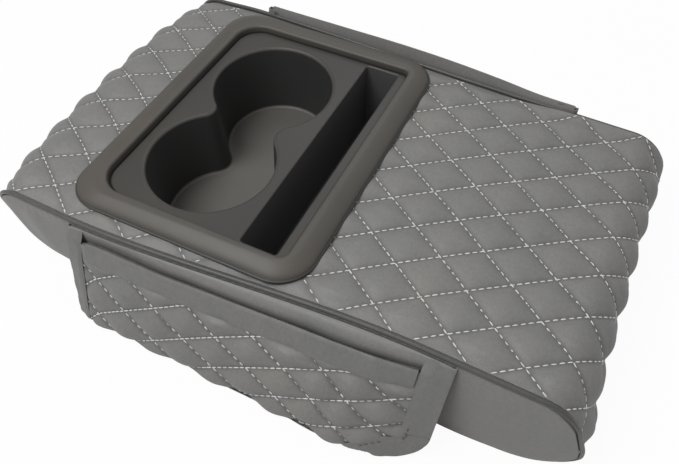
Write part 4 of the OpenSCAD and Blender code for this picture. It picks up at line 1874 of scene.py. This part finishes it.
    def build(self) -> None:
        """Builds the pieces and their stitches."""
        label, turned = self.side.label, self.side is Side.FRONT
        u, v, middle, out = self.grid(300, 110)
        puff, near = self.puff(u, v)
        slack = rippled(self.FACE_SLACK, u, v) * smooth(self.edge_distance(u, v) / 8.0)
        outer = kept_above(middle + out * (puff + slack)[..., None], self.LOW_OUTSIDE)
        inner = kept_above(middle - out * self.face_t * 0.8, self.LOW_INSIDE)
        name = f"{label}_pouch_quilting"
        face = MeshKit.sheet(name, outer, inner, self.finishes.quilt, None, near, turned)
        self.done(face, "quilted_leather", f"{label}_pouch_face")
        tapes = [self.binding(turned), self.hem(turned)]
        back, size = self.back(turned)
        self.sewing()

    @staticmethod
    def way_in(stations: Points, inward: Points, width: Points) -> tuple[Points, Points]:
        """Places at a width in from the edge, as u and v."""
        return stations[:, :1] + inward[:, :1] * width, stations[:, 1:] + inward[:, 1:] * width

    def tape(
        self, name: str, stations: Points, inward: Points, shape: TapeShape, turned: bool,
        narrow: bool = False,
    ) -> bpy.types.Object:
        """A tape folded over an edge of the face.

        Args:
            name: Name of the piece.
            stations: Places on the edge, as u and v.
            inward: Direction from the edge into the face at each place.
            shape: Its section.
            turned: Whether the grid's order faces inwards.
            narrow: Whether the tape narrows at the end beside the tray.

        Returns:
            The tape.
        """
        edges = [0.35, 0.0, 0.0, 0.4]
        across = np.concatenate(
            [np.linspace(shape.outside, 1.0, 10), edges, np.linspace(1.0, shape.inside, 5)]
        )
        over = np.concatenate([np.ones(10), [0.85, 0.6, -0.6, -0.85], -np.ones(5)])
        front = over > 0
        share = self.tape_width(stations[:, :1]) / shape.outside if narrow else 1.0
        w = np.where(front, across * share, across + np.zeros((len(stations), 1)))
        u, v = self.way_in(stations, inward, w)
        out = self.outward(u, v)
        thin = np.where(front, mix(0.35, 1.0, smooth((shape.outside - across) / 4.0)), 1.0)
        level = np.where(front, 0.45 * thin, shape.inner_drop) * over
        along = 0.8 * np.arange(1, len(stations) + 1)[:, None]
        lift = level + front * rippled(self.TAPE_CREASES, along, w)
        edge = self.surface(*self.way_in(stations, inward, 0.0))
        outwards = unit(edge - self.surface(*self.way_in(stations, inward, 2.0)))
        beyond = np.where(across < 0.2, 0.5, 0.0)[:, None] * outwards
        core = self.surface(u, v) + out * lift[..., None] + beyond
        side_out = unit(out * over[:, None] + outwards * (1 - np.abs(over))[:, None] * 1.4)
        skin = kept_above(core + side_out * (shape.rise * thin)[:, None], self.LOW_SKIN)
        core = kept_above(core, self.LOW_TAPE)
        return MeshKit.sheet(name, skin, core, self.finishes.tape, None, None, turned)

    def edge_line(self, step: float = 1.4) -> tuple[Points, Points]:
        """The bound edge, down one end, along the foot and up the other end.

        Args:
            step: Distance between places on its straight stretches.

        Returns:
            Places along the edge, as u and v, and the way in from each.
        """
        half, (c, d) = self.half, self.corners
        bottom_l = float(self.length_at(np.array(-half + c)))
        bottom_r = float(self.length_at(np.array(half - d)))
        left_v = np.arange(-self.rise[0], bottom_l - c, step)
        right_v = np.arange(bottom_r - d, -self.rise[1], -step)
        arc = np.linspace(0, math.pi / 2, 18)
        foot_u = np.arange(-half + c + step, half - d, step)
        left_u, right_u = -half + c * (1 - np.cos(arc)), half - d * (1 - np.sin(arc))
        ends = np.full(len(left_v), -half), np.full(len(right_v), half)
        u = np.concatenate([ends[0], left_u, foot_u, right_u, ends[1]])
        v = np.concatenate(
            [
                left_v,
                self.length_at(left_u) - c * (1 - np.sin(arc)),
                self.length_at(foot_u),
                self.length_at(right_u) - d * (1 - np.cos(arc)),
                right_v,
            ]
        )
        iu = np.concatenate([-ends[0] / half, np.cos(arc), 0 * foot_u, -np.sin(arc), -ends[1] / half])
        iv = np.concatenate([0 * left_v, -np.sin(arc), -np.ones(len(foot_u)), -np.cos(arc), 0 * right_v])
        return np.column_stack([u, v]), np.column_stack([iu, iv])

    def binding(self, turned: bool) -> bpy.types.Object:
        """The tape that binds both ends and the foot."""
        stations, inward = self.edge_line()
        name = f"{self.side.label}_pouch_tape"
        obj = self.tape(name, stations, inward, self.binding_shape, turned, narrow=True)
        return self.done(obj, "binding", f"{self.side.label}_pouch_binding")

    def hem(self, turned: bool) -> bpy.types.Object:
        """The fold that hems the mouth."""
        reach = self.half - self.binding_shape.outside - 1
        u = np.arange(reach, -reach, -1.5)
        stations = np.column_stack([u, np.full(len(u), -0.6)])
        inward = np.column_stack([0 * u, np.ones(len(u))])
        obj = self.tape(f"{self.side.label}_pouch_mouth_fold", stations, inward, self.hem_shape, turned)
        return self.done(obj, "binding", f"{self.side.label}_pouch_hem")

    def back(self, turned: bool) -> tuple[bpy.types.Object, tuple[float, float]]:
        """The plain back, rolled out under the piping and hanging inside the pouch.

        Args:
            turned: Whether the grid's order faces inwards.

        Returns:
            The back, and its width and length before it was hung, in metres.
        """
        a = np.linspace(-self.half + 1.5, self.half - 1.5, 240)[:, None]
        mouth_reach, mouth_z, foot, _ = self.profile(a)
        b = np.linspace(0, 1, 90)[None, :]
        turned_down = self.STANDS + self.ROLLS
        down = np.clip((b - turned_down) / (1 - turned_down), 0, 1)
        x = self.x_of(a + self.drawn_in(a, 58 * down))
        behind = self.face_t + self.back_gap
        full = np.maximum(mouth_reach - behind, 1.4)
        low_z = mouth_z - 1.6
        hook_reach, hook_z = self.hook
        stand = np.clip((self.STANDS - b) / self.STANDS, 0, 1) * (self.side is Side.REAR)
        top = curve_through(*self.REAR_TOP, x)
        # The top stands up at the rear, then the sheet rolls out from under the piping and hangs down
        roll = np.clip((b - self.STANDS) / self.ROLLS, 0, 1) * math.pi / 2
        reach = mix(hook_reach + 0 * full, full, np.sin(roll) ** 0.9)
        z = hook_z - (hook_z - low_z) * (1 - np.cos(roll)) ** 0.9
        z = z + (top - hook_z) * stand
        reach = reach + 2.4 * stand**1.3
        z = z - down * (low_z - 3.0)
        hang = mix(full, 1.6 + 0 * full, smooth(down / 0.55))
        free = smooth((self.half - 5 - np.abs(a)) / 30)
        follow = mouth_reach + (foot - mouth_reach) * down - behind - self.back_gap * smooth(down / 0.2)
        reach = np.where(down > 0, mix(follow, hang + (foot - 9 - 1.6) * down**9, free), reach)
        reach = reach + self.BACK_SLACK.at(a, b) * smooth((b - 0.16) / 0.1)
        y = self.pad.side_y(x, self.side) + self.side.value * reach
        z = np.maximum(z, 2.2 + 6.0 * (1 - free))
        mid = np.stack(np.broadcast_arrays(x, y, z), -1)
        first = 0 if self.side is Side.REAR else int(np.argmax(b[0] > 0.115))
        mid = mid[:, first:]
        out = grid_normals(mid)
        if np.mean(out[..., 1]) * self.side.value < 0:
            out = -out
        name, half_t = f"{self.side.label}_pouch_plain_back", out * self.back_t / 2
        obj = MeshKit.sheet(name, mid + half_t, mid - half_t, self.finishes.plain, None, None, turned)
        self.done(obj, "plain_leather", f"{self.side.label}_pouch_back")
        drop = np.linalg.norm(np.diff(mid, axis=1), axis=-1).sum(1).mean()
        width = np.linalg.norm(np.diff(mid, axis=0), axis=-1).sum(0).mean()
        return obj, (round(width) * MM, round(drop) * MM)

    def sewing(self) -> None:
        """Stitches of the quilting and of the binding."""
        label = self.side.label
        u = np.arange(-self.half + 4, self.half - 4, 1.0)
        for word, (direction, stitch) in self.STITCHES.items():
            runs = []
            for k in range(-12, 14):
                v = self.seam(k, direction, u)
                below = v > self.hem_shape.outside - 1.0
                there = below & (self.edge_distance(u, v) > self.tape_width(u) - 0.5)
                runs += [self.run(u[part], v[part], 0.15) for part in stretches(there, 5)]
            stitches = self.stitcher.sew(f"{label}_pouch_{word}_stitches", runs, stitch)
            self.done(stitches, "quilted_leather")
        stations, inward = self.edge_line()
        inner = stations + inward * (self.binding_shape.outside - self.tape_seam)
        shown = (stations[:, 1] > 1.0) & (stations[:, 0] > 60)
        runs = [self.run(inner[shown, 0], inner[shown, 1], 0.75)]
        stitches = self.tape_stitcher.sew(f"{label}_pouch_tape_stitches", runs, self.TAPE_STITCH)
        self.done(stitches, "binding")

    def run(self, u: Points, v: Points, lift: float) -> tuple[Points, Points]:
        """Line on the face's outside with its outward directions."""
        out = self.outward(u, v)
        height = self.puff(u, v)[0] + lift
        return kept_above(self.surface(u, v) + out * height[:, None], self.LOW_THREAD), out


class Studio:
    """Floor, light and the camera at the photograph's viewpoint."""

    eye = (0.11614, -0.22766, 0.34354)
    turn = (0.6317, -0.0004, 0.4681)
    lens = 33.78
    look_at = (0.0, 0.0, 0.03)
    # Name, place, size in metres and power in watts
    lamps = (
        ("key_soft", (-0.32, -0.42, 1.05), 0.5, 8.0),
        ("far_soft", (-0.2, 0.9, 1.2), 0.9, 3.6),
    )
    daylight = 0.4
    floor_reach = 6.0

    def build(self) -> None:
        """Builds the camera, the lamps, the world and the floor."""
        scene = bpy.context.scene
        scene.view_settings.view_transform = "Standard"
        data = bpy.data.cameras.new("photo_view")
        data.lens = self.lens
        data.sensor_width = 36.0
        data.clip_start, data.clip_end = 0.01, 50.0
        camera = placed("photo_view", data)
        camera.location = self.eye
        camera.rotation_euler = self.turn
        scene.camera = camera
        for name, place, size, power in self.lamps:
            self.lamp(name, place, size, power)
        self.world()
        self.floor()

    def lamp(self, name: str, place: Sequence[float], size: float, power: float) -> None:
        """Adds a square soft lamp that looks at the pad."""
        data = bpy.data.lights.new(name, "AREA")
        data.size = size
        data.energy = power
        lamp = placed(name, data)
        lamp.location = place
        way = Vector(self.look_at) - Vector(place)
        lamp.rotation_euler = way.to_track_quat("-Z", "Y").to_euler()

    def world(self) -> None:
        """White where the camera looks past the object, plain grey as a light."""
        world = bpy.data.worlds.new("studio")
        bpy.context.scene.world = world
        shade = Shade("studio", world)
        rays = ("Is Camera Ray", "Is Transmission Ray")
        camera, through = (shade.node("ShaderNodeLightPath", {}, {}, ray) for ray in rays)
        seen = shade.node("ShaderNodeMath", {"operation": "MAXIMUM"}, {0: camera, 1: through})
        light, shown = (
            shade.node("ShaderNodeBackground", {}, {"Color": (1.0, 1.0, 1.0, 1.0), "Strength": strength})
            for strength in (self.daylight, 1.0)
        )
        shade.close(shade.node("ShaderNodeMixShader", {}, {0: seen, 1: light, 2: shown}))

    def floor(self) -> None:
        """A white floor that keeps a faint shadow."""
        mesh = bpy.data.meshes.new("studio_floor")
        r = self.floor_reach
        mesh.from_pydata([(-r, -r, 0), (r, -r, 0), (r, r, 0), (-r, r, 0)], [], [(0, 1, 2, 3)])
        shade = Shade("studio_floor_white")
        path = shade.node("ShaderNodeLightPath", {}, {}, "Is Camera Ray")
        diffuse = shade.node("ShaderNodeBsdfDiffuse", {}, {"Color": (0.8, 0.8, 0.8, 1.0)})
        glow = shade.node("ShaderNodeEmission", {}, {"Color": (1.0, 1.0, 1.0, 1.0), "Strength": 1.0})
        shade.close(shade.node("ShaderNodeMixShader", {}, {0: path * 0.95, 1: diffuse, 2: glow}))
        mesh.materials.append(shade.material)
        placed("studio_floor", mesh)


@dataclass
class Filling(SubAssembly):
    """The foam and the base cloth, whose sides give way with the slack front side."""

    foam_inset: float = 2.0
    side_depth: float = 4.0
    flare_share: float = 0.8
    flare_top: float = 55.0

    def build(self) -> None:
        """Builds both pieces from the solids' own shapes."""
        self.fitted("foam_core", "foam_block", self.finishes.foam, "foam")
        self.fitted("base_panel", "base_cloth_panel", self.finishes.base, "base_cloth")

    def fitted(self, node: str, name: str, material: bpy.types.Material, slot: str) -> None:
        """Copies a solid and moves its long sides by the lean of the side panels.

        Args:
            node: CAD node that is copied and replaced.
            name: Name of the piece.
            material: Its finish.
            slot: Material slot of the record.
        """
        source = frame["nodes"][node]
        mesh = source.data.copy()
        mesh.name = name
        mesh.materials.clear()
        mesh.materials.append(material)
        points = np.empty(len(mesh.vertices) * 3)
        mesh.vertices.foreach_get("co", points)
        points = points.reshape(-1, 3) / MM
        for side in Side:
            x, y, z = points.T
            close = np.abs(y - self.pad.side_y(x, side)) < self.side_depth
            flared = self.pad.flare(x, z, side) * self.flare_share
            points[:, 0] = x + np.where(close & (z < self.flare_top), flared, 0.0)
            moved = self.pad.lean(x, z, side) - (self.foam_inset if slot == "foam" else 0.0)
            points[:, 1] = y + side.value * np.where(close, moved, 0.0)
        points[:, 2] = self.pad.sunk(*points.T)
        mesh.vertices.foreach_set("co", (points * MM).ravel())
        mesh.update()
        obj = placed(name, mesh)
        self.done(obj, slot, node)


def main() -> None:
    logging.basicConfig(level=logging.INFO, format="%(message)s")
    pad, finishes = PadForm(), Finishes()
    stitcher, tape_stitcher = Stitcher(finishes.thread), Stitcher(finishes.tape_thread)
    Studio().build()
    Filling(pad, finishes, stitcher).build()
    QuiltedCover(pad, finishes, stitcher).build()
    for side in Side:
        SideDressing(pad, finishes, stitcher, side=side).build()
        Pouch(pad, finishes, stitcher, tape_stitcher, side=side).build()
    CupTray(pad, finishes, stitcher).build()


if __name__ == "__main__":
    main()
